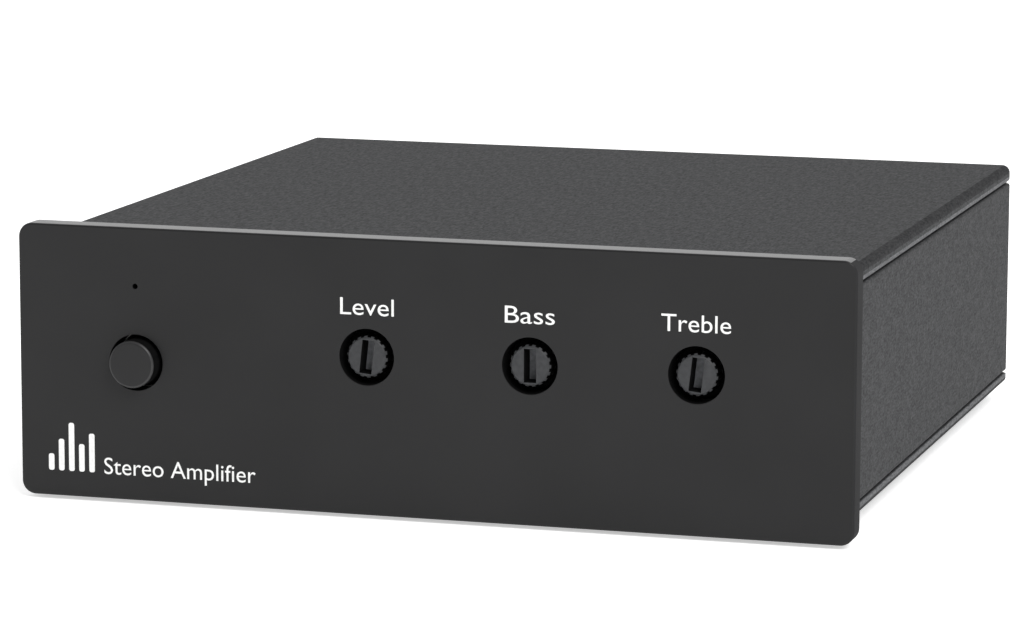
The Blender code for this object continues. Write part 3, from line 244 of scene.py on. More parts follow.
# ---------------------------------------------------------------- finishes
class Finish:
    """A procedural finish in the making: one shader, patterned in the piece's own coordinates."""

    def __init__(self, name, colour, roughness, metallic=0.0, ior=1.5, sheen=0.5):
        self.material = bpy.data.materials.new(name)
        self.material.use_nodes = True
        self.tree = self.material.node_tree
        self.shader = self.tree.nodes["Principled BSDF"]
        self.set("Base Color", (*colour, 1.0))
        self.set("Roughness", roughness)
        self.set("Metallic", metallic)
        self.set("IOR", ior)
        self.set("Specular IOR Level", sheen)
        self.coordinates = self.add("ShaderNodeTexCoord").outputs["Object"]
        self.normal = None

    def add(self, kind, **settings):
        node = self.tree.nodes.new(kind)
        for key, value in settings.items():
            setattr(node, key, value)
        return node

    def set(self, socket, value):
        self.shader.inputs[socket].default_value = value

    def stretched(self, across):
        """The coordinates drawn out along some axes, for brushed or laid patterns."""
        mapping = self.add("ShaderNodeMapping")
        mapping.inputs["Scale"].default_value = across
        self.tree.links.new(self.coordinates, mapping.inputs["Vector"])
        return mapping.outputs["Vector"]

    def noise(self, size, detail=2.0, across=None):
        """Soft clouds with features of about one size, in metres."""
        node = self.add("ShaderNodeTexNoise")
        node.inputs["Scale"].default_value = 1 / size
        node.inputs["Detail"].default_value = detail
        source = self.stretched(across) if across else self.coordinates
        self.tree.links.new(source, node.inputs["Vector"])
        return node.outputs["Fac"]

    def ranged(self, pattern, low, high, start=0.3, end=0.7):
        node = self.add("ShaderNodeMapRange")
        for socket, value in (("From Min", start), ("From Max", end), ("To Min", low), ("To Max", high)):
            node.inputs[socket].default_value = value
        self.tree.links.new(pattern, node.inputs["Value"])
        return node.outputs["Result"]

    def tint(self, pattern, low, high, start=0.3, end=0.7):
        """Varies the colour between two, as the pattern goes from low to high."""
        mix = self.add("ShaderNodeMix", data_type="RGBA")
        colours = [s for s in mix.inputs if s.type == "RGBA"]
        colours[0].default_value = (*low, 1.0)
        colours[1].default_value = (*high, 1.0)
        self.tree.links.new(self.ranged(pattern, 0.0, 1.0, start, end), mix.inputs["Factor"])
        result = [s for s in mix.outputs if s.type == "RGBA"][0]
        self.tree.links.new(result, self.shader.inputs["Base Color"])

    def sheen_varies(self, pattern, low, high, start=0.3, end=0.7):
        self.tree.links.new(self.ranged(pattern, low, high, start, end), self.shader.inputs["Roughness"])

    def relief(self, pattern, depth):
        """Adds a raised pattern of that depth, in metres, on top of any before it."""
        node = self.add("ShaderNodeBump")
        node.inputs["Distance"].default_value = depth
        self.tree.links.new(pattern, node.inputs["Height"])
        if self.normal:
            self.tree.links.new(self.normal, node.inputs["Normal"])
        self.normal = node.outputs["Normal"]
        self.tree.links.new(self.normal, self.shader.inputs["Normal"])


def satin_anodised(name, shade, roughness, sheen):
    """Black anodising over fine blasting."""
    finish = Finish(name, (shade, shade, shade * 1.03), roughness, 0.0, 1.55, sheen)
    low, high = shade * 0.92, shade * 1.12
    finish.tint(finish.noise(0.018), (low, low, low * 1.03), (high, high, high * 1.03))
    blasted = finish.noise(0.00014, 3.0)
    finish.sheen_varies(blasted, roughness - 0.03, roughness + 0.05)
    finish.relief(blasted, 0.000004)
    return finish.material


def powder_coat(name, shade, sheen=0.12):
    """Fine textured powder over a bluish black."""
    finish = Finish(name, (shade, shade * 1.02, shade * 1.08), 0.72, 0.0, 1.5, sheen)
    speckle = finish.noise(0.00030, 2.0, GRAIN_ALONG)
    low, high = shade * 0.50, shade * 1.58
    finish.tint(speckle, (low, low * 1.02, low * 1.07), (high, high * 1.02, high * 1.07))
    finish.sheen_varies(finish.noise(0.0007, 1.0, GRAIN_ALONG), 0.66, 0.80)
    finish.relief(finish.noise(0.00026, 2.0, GRAIN_ALONG), 0.00004)
    return finish.material


def painted_shade_black():
    """Dead black painted shade, in the holes and on the sides that turn inside them."""
    finish = Finish("painted_shade_black", (0.0030, 0.0030, 0.0031), 0.85, 0.0, 1.45, 0.10)
    shade_mottle = finish.noise(0.0006, 3.0)
    finish.tint(shade_mottle, (0.0022, 0.0022, 0.0023), (0.0042, 0.0042, 0.0044))
    finish.sheen_varies(shade_mottle, 0.78, 0.92)
    finish.relief(finish.noise(0.0002, 2.0), 0.000008)
    return finish.material


def zinc_grey(name, shade, sheen):
    """Cast grey with a dull, slightly mottled skin."""
    finish = Finish(name, (shade, shade * 1.03, shade * 1.09), 0.50, 0.0, 1.5, sheen)
    low, high = shade * 0.82, shade * 1.2
    finish.tint(finish.noise(0.0006, 3.0), (low, low * 1.03, low * 1.09), (high, high * 1.03, high * 1.09))
    finish.sheen_varies(finish.noise(0.0003), 0.42, 0.58)
    finish.relief(finish.noise(0.00016, 2.0), 0.000012)
    return finish.material


def moulded_plastic(name, colour, roughness=0.42):
    """Sparked mould texture with a slight flow mark."""
    finish = Finish(name, colour, roughness, 0.0, 1.49)
    darker = tuple(c * 0.82 for c in colour)
    lighter = tuple(min(1.0, c * 1.15) for c in colour)
    finish.tint(finish.noise(0.003, 2.0), darker, lighter)
    spark = finish.noise(0.00016, 2.0)
    finish.sheen_varies(spark, roughness - 0.06, roughness + 0.08)
    finish.relief(spark, 0.000008)
    return finish.material


def rubber():
    finish = Finish("foot_rubber", (0.018, 0.018, 0.018), 0.82)
    finish.tint(finish.noise(0.0015, 3.0), (0.014, 0.014, 0.014), (0.026, 0.025, 0.024))
    finish.sheen_varies(finish.noise(0.0006), 0.72, 0.90)
    finish.relief(finish.noise(0.00022, 3.0), 0.000015)
    return finish.material


def gold_plate():
    finish = Finish("gold_plate", (0.80, 0.60, 0.28), 0.20, 1.0)
    finish.tint(finish.noise(0.002, 2.0), (0.74, 0.54, 0.24), (0.84, 0.65, 0.33))
    lines = finish.noise(0.0008, 2.0, across=(1, 9, 1))
    finish.sheen_varies(lines, 0.15, 0.30)
    finish.relief(lines, 0.000003)
    return finish.material


def bright_nickel():
    finish = Finish("bright_nickel", (0.66, 0.65, 0.62), 0.22, 1.0)
    finish.tint(finish.noise(0.0015, 2.0), (0.58, 0.57, 0.54), (0.72, 0.71, 0.68))
    finish.sheen_varies(finish.noise(0.0005, 2.0), 0.17, 0.32)
    return finish.material


def black_zinc():
    finish = Finish("black_zinc", (0.055, 0.055, 0.058), 0.34, 0.85)
    finish.tint(finish.noise(0.0012, 3.0), (0.040, 0.040, 0.042), (0.080, 0.079, 0.076))
    finish.sheen_varies(finish.noise(0.0004), 0.28, 0.46)
    finish.relief(finish.noise(0.0002), 0.000006)
    return finish.material


def zinc_sheet():
    """Bright zinc with the faint grain of rolled sheet."""
    finish = Finish("zinc_sheet", (0.56, 0.56, 0.55), 0.32, 1.0)
    finish.tint(finish.noise(0.005, 3.0), (0.48, 0.48, 0.47), (0.62, 0.62, 0.60))
    rolled = finish.noise(0.0006, 2.0, across=(0.05, 1, 1))
    finish.sheen_varies(rolled, 0.26, 0.42)
    finish.relief(rolled, 0.000003)
    return finish.material


def circuit_board():
    """Green solder mask over faintly raised copper tracks."""
    finish = Finish("circuit_board", (0.018, 0.110, 0.048), 0.36, 0.0, 1.52)
    tracks = finish.add("ShaderNodeTexBrick")
    tracks.inputs["Scale"].default_value = 220.0
    tracks.inputs["Mortar Size"].default_value = 0.035
    finish.tree.links.new(finish.coordinates, tracks.inputs["Vector"])
    finish.tint(tracks.outputs["Fac"], (0.012, 0.085, 0.036), (0.030, 0.150, 0.062), 0.2, 0.8)
    finish.sheen_varies(finish.noise(0.0008), 0.30, 0.44)
    finish.relief(tracks.outputs["Fac"], 0.00002)
    return finish.material


def drawn_aluminium():
    finish = Finish("drawn_aluminium", (0.56, 0.57, 0.58), 0.34, 1.0)
    finish.tint(finish.noise(0.006, 2.0), (0.50, 0.51, 0.52), (0.62, 0.63, 0.64))
    drawn = finish.noise(0.0004, 2.0, across=(1, 0.04, 1))
    finish.sheen_varies(drawn, 0.28, 0.46)
    finish.relief(drawn, 0.000005)
    return finish.material


def shrink_sleeve():
    finish = Finish("shrink_sleeve", (0.022, 0.026, 0.070), 0.28, 0.0, 1.5)
    finish.tint(finish.noise(0.004, 1.0), (0.018, 0.022, 0.060), (0.028, 0.032, 0.085))
    finish.sheen_varies(finish.noise(0.001), 0.22, 0.36)
    finish.relief(finish.noise(0.0012, 1.0), 0.000020)
    return finish.material


def pressed_ferrite():
    finish = Finish("pressed_ferrite", (0.050, 0.050, 0.052), 0.70)
    finish.tint(finish.noise(0.0004, 4.0), (0.038, 0.038, 0.040), (0.075, 0.074, 0.072))
    finish.sheen_varies(finish.noise(0.0008), 0.60, 0.80)
    finish.relief(finish.noise(0.0002, 3.0), 0.000025)
    return finish.material


def clear_lens():
    finish = Finish("clear_lens", (0.60, 0.68, 0.85), 0.08, 0.0, 1.5)
    finish.tint(finish.noise(0.001, 1.0), (0.55, 0.63, 0.80), (0.64, 0.72, 0.88))
    finish.sheen_varies(finish.noise(0.0006), 0.05, 0.14)
    finish.set("Transmission Weight", 0.35)
    return finish.material


def printing_ink():
    """White screen print, a little uneven where the ink is thin."""
    finish = Finish("printing_ink", (0.86, 0.86, 0.85), 0.55)
    finish.tint(finish.noise(0.0005, 2.0), (0.80, 0.80, 0.79), (0.90, 0.90, 0.89))
    finish.sheen_varies(finish.noise(0.0003), 0.48, 0.62)
    finish.relief(finish.noise(0.00015, 2.0), 0.000004)
    return finish.material


FINISHES = {
    "anodised": satin_anodised("satin_anodised", 0.0145, 0.36, 0.19),
    # painted highlight: a lighter, glossier copy of the anodising for the plate's top faces, for the
    # backdrop's grazing reflection
    "top_highlight": satin_anodised("plate_top_painted_highlight", 0.030, 0.30, 0.62),
    # painted light: a lighter copy of the anodising without reflection, standing in for the light on the
    # plate's side faces
    "flank_light": satin_anodised("plate_side_painted_light", 0.028, 0.60, 0.01),
    "button": satin_anodised("button_anodised", 0.0155, 0.34, 0.20),
    # painted highlight: a lighter, glossier copy of the button's anodising for its rounded rim
    "rim_highlight": satin_anodised("cap_rim_painted_highlight", 0.020, 0.38, 0.40),
    "coat": powder_coat("powder_coat", 0.033),
    # painted shade: a darker copy of the coat for the outer rounding, which looks dark in this light
    "bend_shade": powder_coat("powder_bend_painted_shade", 0.022, 0.06),
    # painted highlight: a paler copy of the coat for the lip's lower part, standing in for the floor's
    # reflection
    "lip_highlight": powder_coat("powder_lip_painted_highlight", 0.088, 0.20),
    # painted shade: near-black for the walls and sides inside the openings and gaps
    "gap_shade": painted_shade_black(),
    "shaft": zinc_grey("shaft_face", 0.039, 0.26),
    # painted light: a much lighter copy of the shaft's grey for the slot's floor, against the shade in the
    # slot
    "slot_floor_light": zinc_grey("shaft_floor_painted_light", 0.22, 0.10),
    "black": moulded_plastic("moulded_black", (0.026, 0.026, 0.028)),
    "red": moulded_plastic("moulded_red", (0.430, 0.018, 0.016), 0.34),
    "white": moulded_plastic("moulded_white", (0.720, 0.715, 0.690), 0.36),
    "rubber": rubber(),
    "gold": gold_plate(),
    "nickel": bright_nickel(),
    "black_zinc": black_zinc(),
    "zinc": zinc_sheet(),
    "board": circuit_board(),
    "aluminium": drawn_aluminium(),
    "sleeve": shrink_sleeve(),
    "ferrite": pressed_ferrite(),
    "lens": clear_lens(),
    "ink": printing_ink(),
}


# ---------------------------------------------------------------- bench tools
def take(piece):
    """Makes a piece the only one selected."""
    bpy.ops.object.select_all(action="DESELECT")
    piece.select_set(True)
    bpy.context.view_layer.objects.active = piece


def set_down(name):
    """Names the piece just added and puts its place into its mesh."""
    piece = bpy.context.object
    piece.name = name
    piece.data.name = name
    take(piece)
    bpy.ops.object.transform_apply(location=True, rotation=True, scale=True)
    return piece


def block(name, low, high):
    low, high = Vector(low), Vector(high)
    bpy.ops.object.select_all(action="DESELECT")
    bpy.ops.mesh.primitive_cube_add(size=1, location=(low + high) / 2, scale=high - low)
    return set_down(name)


def rod(centre, radius, start, end, sides=SMOOTH):
    """A plain bar along Y, for cutting or joining."""
    bpy.ops.object.select_all(action="DESELECT")
    bpy.ops.mesh.primitive_cylinder_add(
        vertices=sides, radius=radius, depth=end - start,
        location=(centre.x, (start + end) / 2, centre.z), rotation=(math.pi / 2, 0, 0),
    )
    return set_down("rod")


def pick_faces(piece, wanted):
    """In edit mode, selects only the faces whose middle and normal are wanted."""
    bpy.ops.mesh.select_mode(type="FACE")
    bpy.ops.mesh.select_all(action="DESELECT")
    bm = bmesh.from_edit_mesh(piece.data)
    for face in bm.faces:
        if wanted(face.calc_center_median(), face.normal):
            face.select_set(True)
    bmesh.update_edit_mesh(piece.data)


def pick_edges(piece, wanted):
    """In edit mode, selects only the edges whose two ends are wanted."""
    bpy.ops.mesh.select_mode(type="EDGE")
    bpy.ops.mesh.select_all(action="DESELECT")
    bm = bmesh.from_edit_mesh(piece.data)
    for edge in bm.edges:
        if wanted(edge.verts[0].co, edge.verts[1].co):
            edge.select_set(True)
    bmesh.update_edit_mesh(piece.data)


def round_edges(piece, width, steps, wanted):
    """Bevels the wanted edges; one step makes a chamfer."""
    take(piece)
    bpy.ops.object.mode_set(mode="EDIT")
    pick_edges(piece, wanted)
    bpy.ops.mesh.bevel(offset=width, segments=steps, profile=0.5, affect="EDGES")
    bpy.ops.object.mode_set(mode="OBJECT")


def draw_out(piece, move, wanted):
    """Extrudes the wanted faces by a straight move."""
    take(piece)
    bpy.ops.object.mode_set(mode="EDIT")
    pick_faces(piece, wanted)
    bpy.ops.mesh.extrude_region_move(TRANSFORM_OT_translate={"value": move})
    bpy.ops.object.mode_set(mode="OBJECT")


def slice_at(piece, places, axis):
    """Adds a line of edges right through a piece at each place along an axis."""
    normal = Vector((axis == "X", axis == "Y", axis == "Z"))
    take(piece)
    bpy.ops.object.mode_set(mode="EDIT")
    for place in places:
        bpy.ops.mesh.select_all(action="SELECT")
        bpy.ops.mesh.bisect(plane_co=normal * place, plane_no=normal)
    bpy.ops.object.mode_set(mode="OBJECT")


def combine(piece, operation, others):
    """Cuts or joins shapes, and clears them away."""
    for other in others:
        modifier = piece.modifiers.new("combine", "BOOLEAN")
        modifier.operation = operation
        modifier.object = other
        take(piece)
        bpy.ops.object.modifier_apply(modifier=modifier.name)
        bpy.data.objects.remove(other)


def turned(name, centre, profile, sides=SMOOTH, through=False, upright=False):
    """A round piece worked from a disc: its end face is drawn out and sized to each (radius, place).

    The axis is along Y, or along Z if it stands upright. A piece that is bored right through starts
    and ends on its bore, and the two ends are bridged.
    """
    radius, place = profile[0]
    start = Vector((centre.x, centre.y, place)) if upright else Vector((centre.x, place, centre.z))
    bpy.ops.object.select_all(action="DESELECT")
    bpy.ops.mesh.primitive_circle_add(
        vertices=sides, radius=radius, fill_type="NGON", location=start,
        rotation=(0, 0, 0) if upright else (math.pi / 2, 0, 0),
    )
    piece = set_down(name)
    bpy.ops.object.mode_set(mode="EDIT")
    bpy.ops.mesh.select_all(action="SELECT")
    for next_radius, next_place in profile[1:]:
        step = next_place - place
        move = (0, 0, step) if upright else (0, step, 0)
        bpy.ops.mesh.extrude_region_move(TRANSFORM_OT_translate={"value": move})
        share = next_radius / radius
        if share != 1:
            size = (share, share, 1) if upright else (share, 1, share)
            bpy.ops.transform.resize(value=size, center_override=start)
        radius, place = next_radius, next_place
    if through:
        pick_faces(piece, lambda middle, normal: (middle - start).cross(normal).length < SAME)
        bpy.ops.mesh.bridge_edge_loops()
    bpy.ops.mesh.select_all(action="SELECT")
    bpy.ops.mesh.normals_make_consistent(inside=False)
    bpy.ops.object.mode_set(mode="OBJECT")
    return piece


def on_ring(centre, radius, place):
    """Wants the edges of one circle round a line along Y."""
    def wanted(a, b):
        return all(near(p.y, place) and near(off_axis(p, centre), radius) for p in (a, b))
    return wanted


def on_upright_ring(centre, radius, place):
    def wanted(a, b):
        return all(
            near(p.z, place) and near(math.hypot(p.x - centre.x, p.y - centre.y), radius) for p in (a, b)
        )
    return wanted


def along_y(a, b):
    return near(a.x, b.x) and near(a.z, b.z)


def at_depth(place):
    """Wants the edges that lie wholly at one Y."""
    return lambda a, b: near(a.y, place) and near(b.y, place)


def rim_of(centre, radius, place):
    """Wants the rim of a hole, whose points may be a little off the circle."""
    def wanted(a, b):
        return all(near(p.y, place) and off_axis(p, centre) < radius * 1.02 for p in (a, b))
    return wanted


def copy_to(piece, name, move, turn=0.0):
    """A copy with its own mesh, turned about the Y axis and moved."""
    other = piece.copy()
    other.data = piece.data.copy()
    bpy.context.scene.collection.objects.link(other)
    other.rotation_euler = (0, turn, 0)
    other.location = move
    bpy.context.view_layer.objects.active = other
    return set_down(name)


def finish_piece(piece, finish, body="chassis", stands_for=()):
    """Clears up the mesh, gives it its finish and hangs it on its body."""
    take(piece)
    bpy.ops.object.mode_set(mode="EDIT")
    bpy.ops.mesh.select_all(action="SELECT")
    bpy.ops.mesh.remove_doubles(threshold=1e-7)
    bpy.ops.mesh.normals_make_consistent(inside=False)
    bpy.ops.object.mode_set(mode="OBJECT")
    piece.data.materials.clear()
    piece.data.materials.append(FINISHES[finish])
    bpy.ops.object.shade_smooth_by_angle(angle=SMOOTH_ANGLE)
    shading = piece.modifiers.new("even_shading", "WEIGHTED_NORMAL")
    shading.keep_sharp = True
    bpy.ops.object.modifier_apply(modifier=shading.name)
    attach(piece, body)
    if stands_for:
        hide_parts(*stands_for)
    return piece


def refinish(piece, finish, wanted):
    """Gives the wanted faces of a finished piece another finish."""
    piece.data.materials.append(FINISHES[finish])
    for face in piece.data.polygons:
        if wanted(face.center, face.normal):
            face.material_index = len(piece.data.materials) - 1


# ---------------------------------------------------------------- enclosure
def make_front_plate():
    """A milled plate with a fine broken front edge, four round openings and a pin hole."""
    plate = block("milled_plate", PLATE_LOW, PLATE_HIGH)
    round_edges(plate, PLATE_CORNER, 12, along_y)
    round_edges(plate, PLATE_FRONT_EDGE, 3, at_depth(PLATE_LOW.y))
    round_edges(plate, PLATE_REAR_EDGE, 1, at_depth(PLATE_HIGH.y))
    front, rear = PLATE_LOW.y - OVERLAP, PLATE_HIGH.y + OVERLAP
    windows = [(place, WINDOW_RADIUS) for place in (*HOLE_PLACES.values(), BUTTON_PLACE)]
    openings = windows + [(LED_PLACE, LED_HOLE_RADIUS)]
    combine(plate, "DIFFERENCE", [rod(place, radius, front, rear) for place, radius in openings])
    pocket = PLATE_HIGH.y - HEAD_POCKET_DEPTH
    combine(
        plate, "DIFFERENCE",
        [rod(place, HEAD_POCKET_RADIUS, pocket, rear, FINE) for place in SCREW_PLACES],
    )
    tapped = PLATE_HIGH.y - TAPPED_DEPTH
    combine(
        plate, "DIFFERENCE",
        [rod(centre_of(f"plate_screw_{s}"), SHANK_HOLE_RADIUS, tapped, rear, FINE) for s in SIDES],
    )
    for place, radius in windows:
        round_edges(plate, HOLE_EDGE, 2, rim_of(place, radius, PLATE_LOW.y))
    finish_piece(plate, "anodised", stands_for=["front_plate"])
    edge = PLATE_FRONT_EDGE
    # Painted highlight: the plate's top faces take the lighter copy of the anodising.
    refinish(plate, "top_highlight", lambda middle, normal: normal.z > 0.8 and middle.z > PLATE_HIGH.z - edge)
    # Painted light: the plate's side faces take the lighter copy without reflection.
    refinish(
        plate, "flank_light",
        lambda middle, normal: abs(normal.x) > 0.5 and abs(middle.x) > PLATE_HIGH.x - PLATE_CORNER,
    )
    # Painted shade: the walls of the openings are made near-black.
    refinish(
        plate, "gap_shade",
        lambda middle, normal: abs(normal.y) < 0.2
        and any(off_axis(middle, place) < radius * 1.01 for place, radius in openings),
    )


def make_cover(node, name, outward, edge_height, outer_radius, sheet):
    """A cover of folded section: a sheet, a lip down each side, and a hook inside each lip."""
    low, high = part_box(node)
    outer = high.z if outward > 0 else low.z
    inner = outer - outward * sheet
    half = high.x
    hook_outer = PANEL_HIGH.x - SIDE_WALL - FLANGE_REACH - SLIDE_GAP
    hook_inner = hook_outer - HOOK_WEB
    cover = block(name, (-half, low.y, min(outer, inner)), (half, high.y, max(outer, inner)))
    slice_at(cover, (-hook_outer, -hook_inner, hook_inner, hook_outer), "X")

    def under(middle, normal):
        return normal.z * outward < -0.9

    draw_out(
        cover, (0, 0, -outward * (edge_height - sheet)),
        lambda middle, normal: under(middle, normal) and abs(middle.x) > hook_outer,
    )
    web = edge_height + CONTACT_GAP + FLANGE + SLIDE_GAP - sheet

    def under_hook(middle, normal):
        return under(middle, normal) and hook_inner < abs(middle.x) < hook_outer

    draw_out(cover, (0, 0, -outward * web), under_hook)
    draw_out(cover, (0, 0, -outward * HOOK_FOOT), under_hook)
    foot_start = inner - outward * web
    reach = FLANGE_REACH
    for side in (-1, 1):
        draw_out(
            cover, (side * reach, 0, 0),
            lambda middle, normal: normal.x * side > 0.9 and near(abs(middle.x), hook_outer)
            and (foot_start - middle.z) * outward > 0,
        )
    lip_end = outer - outward * edge_height
    # Where the painted highlight on the lip ends; the cover is cut there.
    highlight_top = lip_end + outward * LIP_HIGHLIGHT_HEIGHT
    slice_at(cover, [highlight_top], "Z")
    round_edges(
        cover, outer_radius, 8,
        lambda a, b: along_y(a, b) and near(abs(a.x), half) and near(a.z, outer),
    )
    round_edges(
        cover, COVER_LIP_EDGE, 4,
        lambda a, b: along_y(a, b) and near(abs(a.x), half) and near(a.z, lip_end),
    )
    for end in (low.y, high.y):
        round_edges(cover, SAWN_EDGE, 1, at_depth(end))
    finish_piece(cover, "coat", stands_for=[node])
    # Painted shade: the rounding along the outer edge takes the darker copy of the coat.
    refinish(
        cover, "bend_shade",
        lambda middle, normal: abs(normal.x) > 0.12 and abs(middle.x) > half - outer_radius
        and (outer - middle.z) * outward < outer_radius,
    )
    # Painted highlight: the lip's lower part takes the paler coat, for the floor's reflection on its
    # rounding.
    refinish(
        cover, "lip_highlight",
        lambda middle, normal: abs(normal.x) > 0.35 and abs(middle.x) > half - COVER_LIP_EDGE
        and (highlight_top - middle.z) * outward > 0,
    )


def make_side_panel(side_name, side):
    """An extruded wall with hooked flanges, two ribs that hold the board, and two screw channels."""
    node = f"side_panel_{side_name}"
    low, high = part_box(node)
    outer = side * high.x if side > 0 else low.x
    inner = outer - side * SIDE_WALL
    panel = block(
        f"side_wall_{side_name}",
        (min(outer, inner), low.y, low.z), (max(outer, inner), high.y, high.z),
    )
    slot_low, slot_high = BOARD_LOW.z - BOARD_GAP, BOARD_HIGH.z + BOARD_GAP
    lines = (low.z + FLANGE, slot_low - RIB, slot_low, slot_high, slot_high + RIB, high.z - FLANGE)
    slice_at(panel, lines, "Z")

    def inside(middle, normal):
        return normal.x * side < -0.9

    draw_out(
        panel, (-side * FLANGE_REACH, 0, 0),
        lambda middle, normal: inside(middle, normal)
        and not low.z + FLANGE < middle.z < high.z - FLANGE,
    )
    draw_out(
        panel, (-side * RIB_REACH, 0, 0),
        lambda middle, normal: inside(middle, normal) and near(middle.x, inner)
        and (slot_low - RIB < middle.z < slot_low or slot_high < middle.z < slot_high + RIB),
    )
    start, end = low.y + CHANNEL_SETBACK, high.y
    places = [p for p in SCREW_PLACES if p.x * side > 0]
    combine(panel, "UNION", [rod(p, CHANNEL_RADIUS, start, end, FINE) for p in places])
    past = end + OVERLAP
    combine(panel, "DIFFERENCE", [rod(p, SHANK_HOLE_RADIUS, start - OVERLAP, past, FINE) for p in places])
    mouths = []
    for p in places:
        near_x, far_x = sorted((p.x, p.x - side * (CHANNEL_RADIUS + OVERLAP)))
        mouths.append(
            block(
                "mouth", (near_x, start - OVERLAP, p.z - CHANNEL_MOUTH / 2),
                (far_x, past, p.z + CHANNEL_MOUTH / 2),
            )
        )
    combine(panel, "DIFFERENCE", mouths)
    round_edges(
        panel, SIDE_EDGE, 5,
        lambda a, b: along_y(a, b) and near(a.x, outer) and (near(a.z, low.z) or near(a.z, high.z)),
    )
    finish_piece(panel, "coat", stands_for=[node])


def make_rear_plate():
    plate = block("socket_plate", REAR_LOW, REAR_HIGH)
    round_edges(plate, REAR_CORNER, 8, along_y)
    for end in (REAR_LOW.y, REAR_HIGH.y):
        round_edges(plate, SAWN_EDGE, 2, at_depth(end))
    front, rear = REAR_LOW.y - OVERLAP, REAR_HIGH.y + OVERLAP
    holes = [(place, SHANK_HOLE_RADIUS) for place in SCREW_PLACES]
    holes += [(centre_of(f"terminal_post_{p}"), BUSH_RADIUS + SOCKET_GAP) for p in POSTS]
    holes += [(centre_of(f"rca_sleeve_{s}"), SLEEVE_RADIUS + SOCKET_GAP) for s in SIDES]
    holes += [(TRIGGER_PLACE, TRIGGER_NOSE_RADIUS + SOCKET_GAP)]
    holes += [(POWER_PLACE, POWER_NOSE_RADIUS + SOCKET_GAP)]
    combine(plate, "DIFFERENCE", [rod(place, radius, front, rear) for place, radius in holes])
    for place, radius in holes:
        round_edges(plate, HOLE_EDGE, 2, rim_of(place, radius, REAR_HIGH.y))
    finish_piece(plate, "anodised", stands_for=["rear_plate"])


def make_feet():
    """Moulded feet with a rounded sole and a shallow dish in it."""
    for end in ("front", "rear"):
        for side in SIDES:
            node = f"foot_{end}_{side}"
            low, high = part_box(node)
            centre, radius = (low + high) / 2, (high.x - low.x) / 2
            foot = turned(
                f"sole_{end}_{side}", centre,
                [
                    (radius, high.z), (radius, low.z), (FOOT_DISH_RADIUS, low.z),
                    (FOOT_DISH_RADIUS * 0.94, low.z + FOOT_DISH_DEPTH),
                ],
                upright=True,
            )
            round_edges(foot, FOOT_ROUNDING, 5, on_upright_ring(centre, radius, low.z))
            round_edges(foot, SAWN_EDGE, 2, on_upright_ring(centre, FOOT_DISH_RADIUS, low.z))
            finish_piece(foot, "rubber", stands_for=[node])


def make_rear_screws():
    """Button-head screws with a hexagon socket."""
    for side in SIDES:
        for height in ("low", "high"):
            node = f"rear_screw_{side}_{height}"
            low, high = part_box(node)
            centre, radius = (low + high) / 2, (high.x - low.x) / 2
            under_head = high.y - HEAD_HEIGHT
            screw = turned(
                f"case_screw_{side}_{height}", centre,
                [
                    (SHANK_RADIUS / 2, low.y), (SHANK_RADIUS, low.y + SHANK_RADIUS / 2),
                    (SHANK_RADIUS, under_head), (radius, under_head), (radius, high.y),
                ],
                FINE,
            )
            round_edges(screw, HEAD_CROWN, 6, on_ring(centre, radius, high.y))
            socket = rod(centre, HEX_RADIUS, high.y - HEX_DEPTH, high.y + OVERLAP, 6)
            combine(screw, "DIFFERENCE", [socket])
            round_edges(screw, SAWN_EDGE, 1, rim_of(centre, HEX_RADIUS, high.y))
            finish_piece(screw, "black_zinc", stands_for=[node])


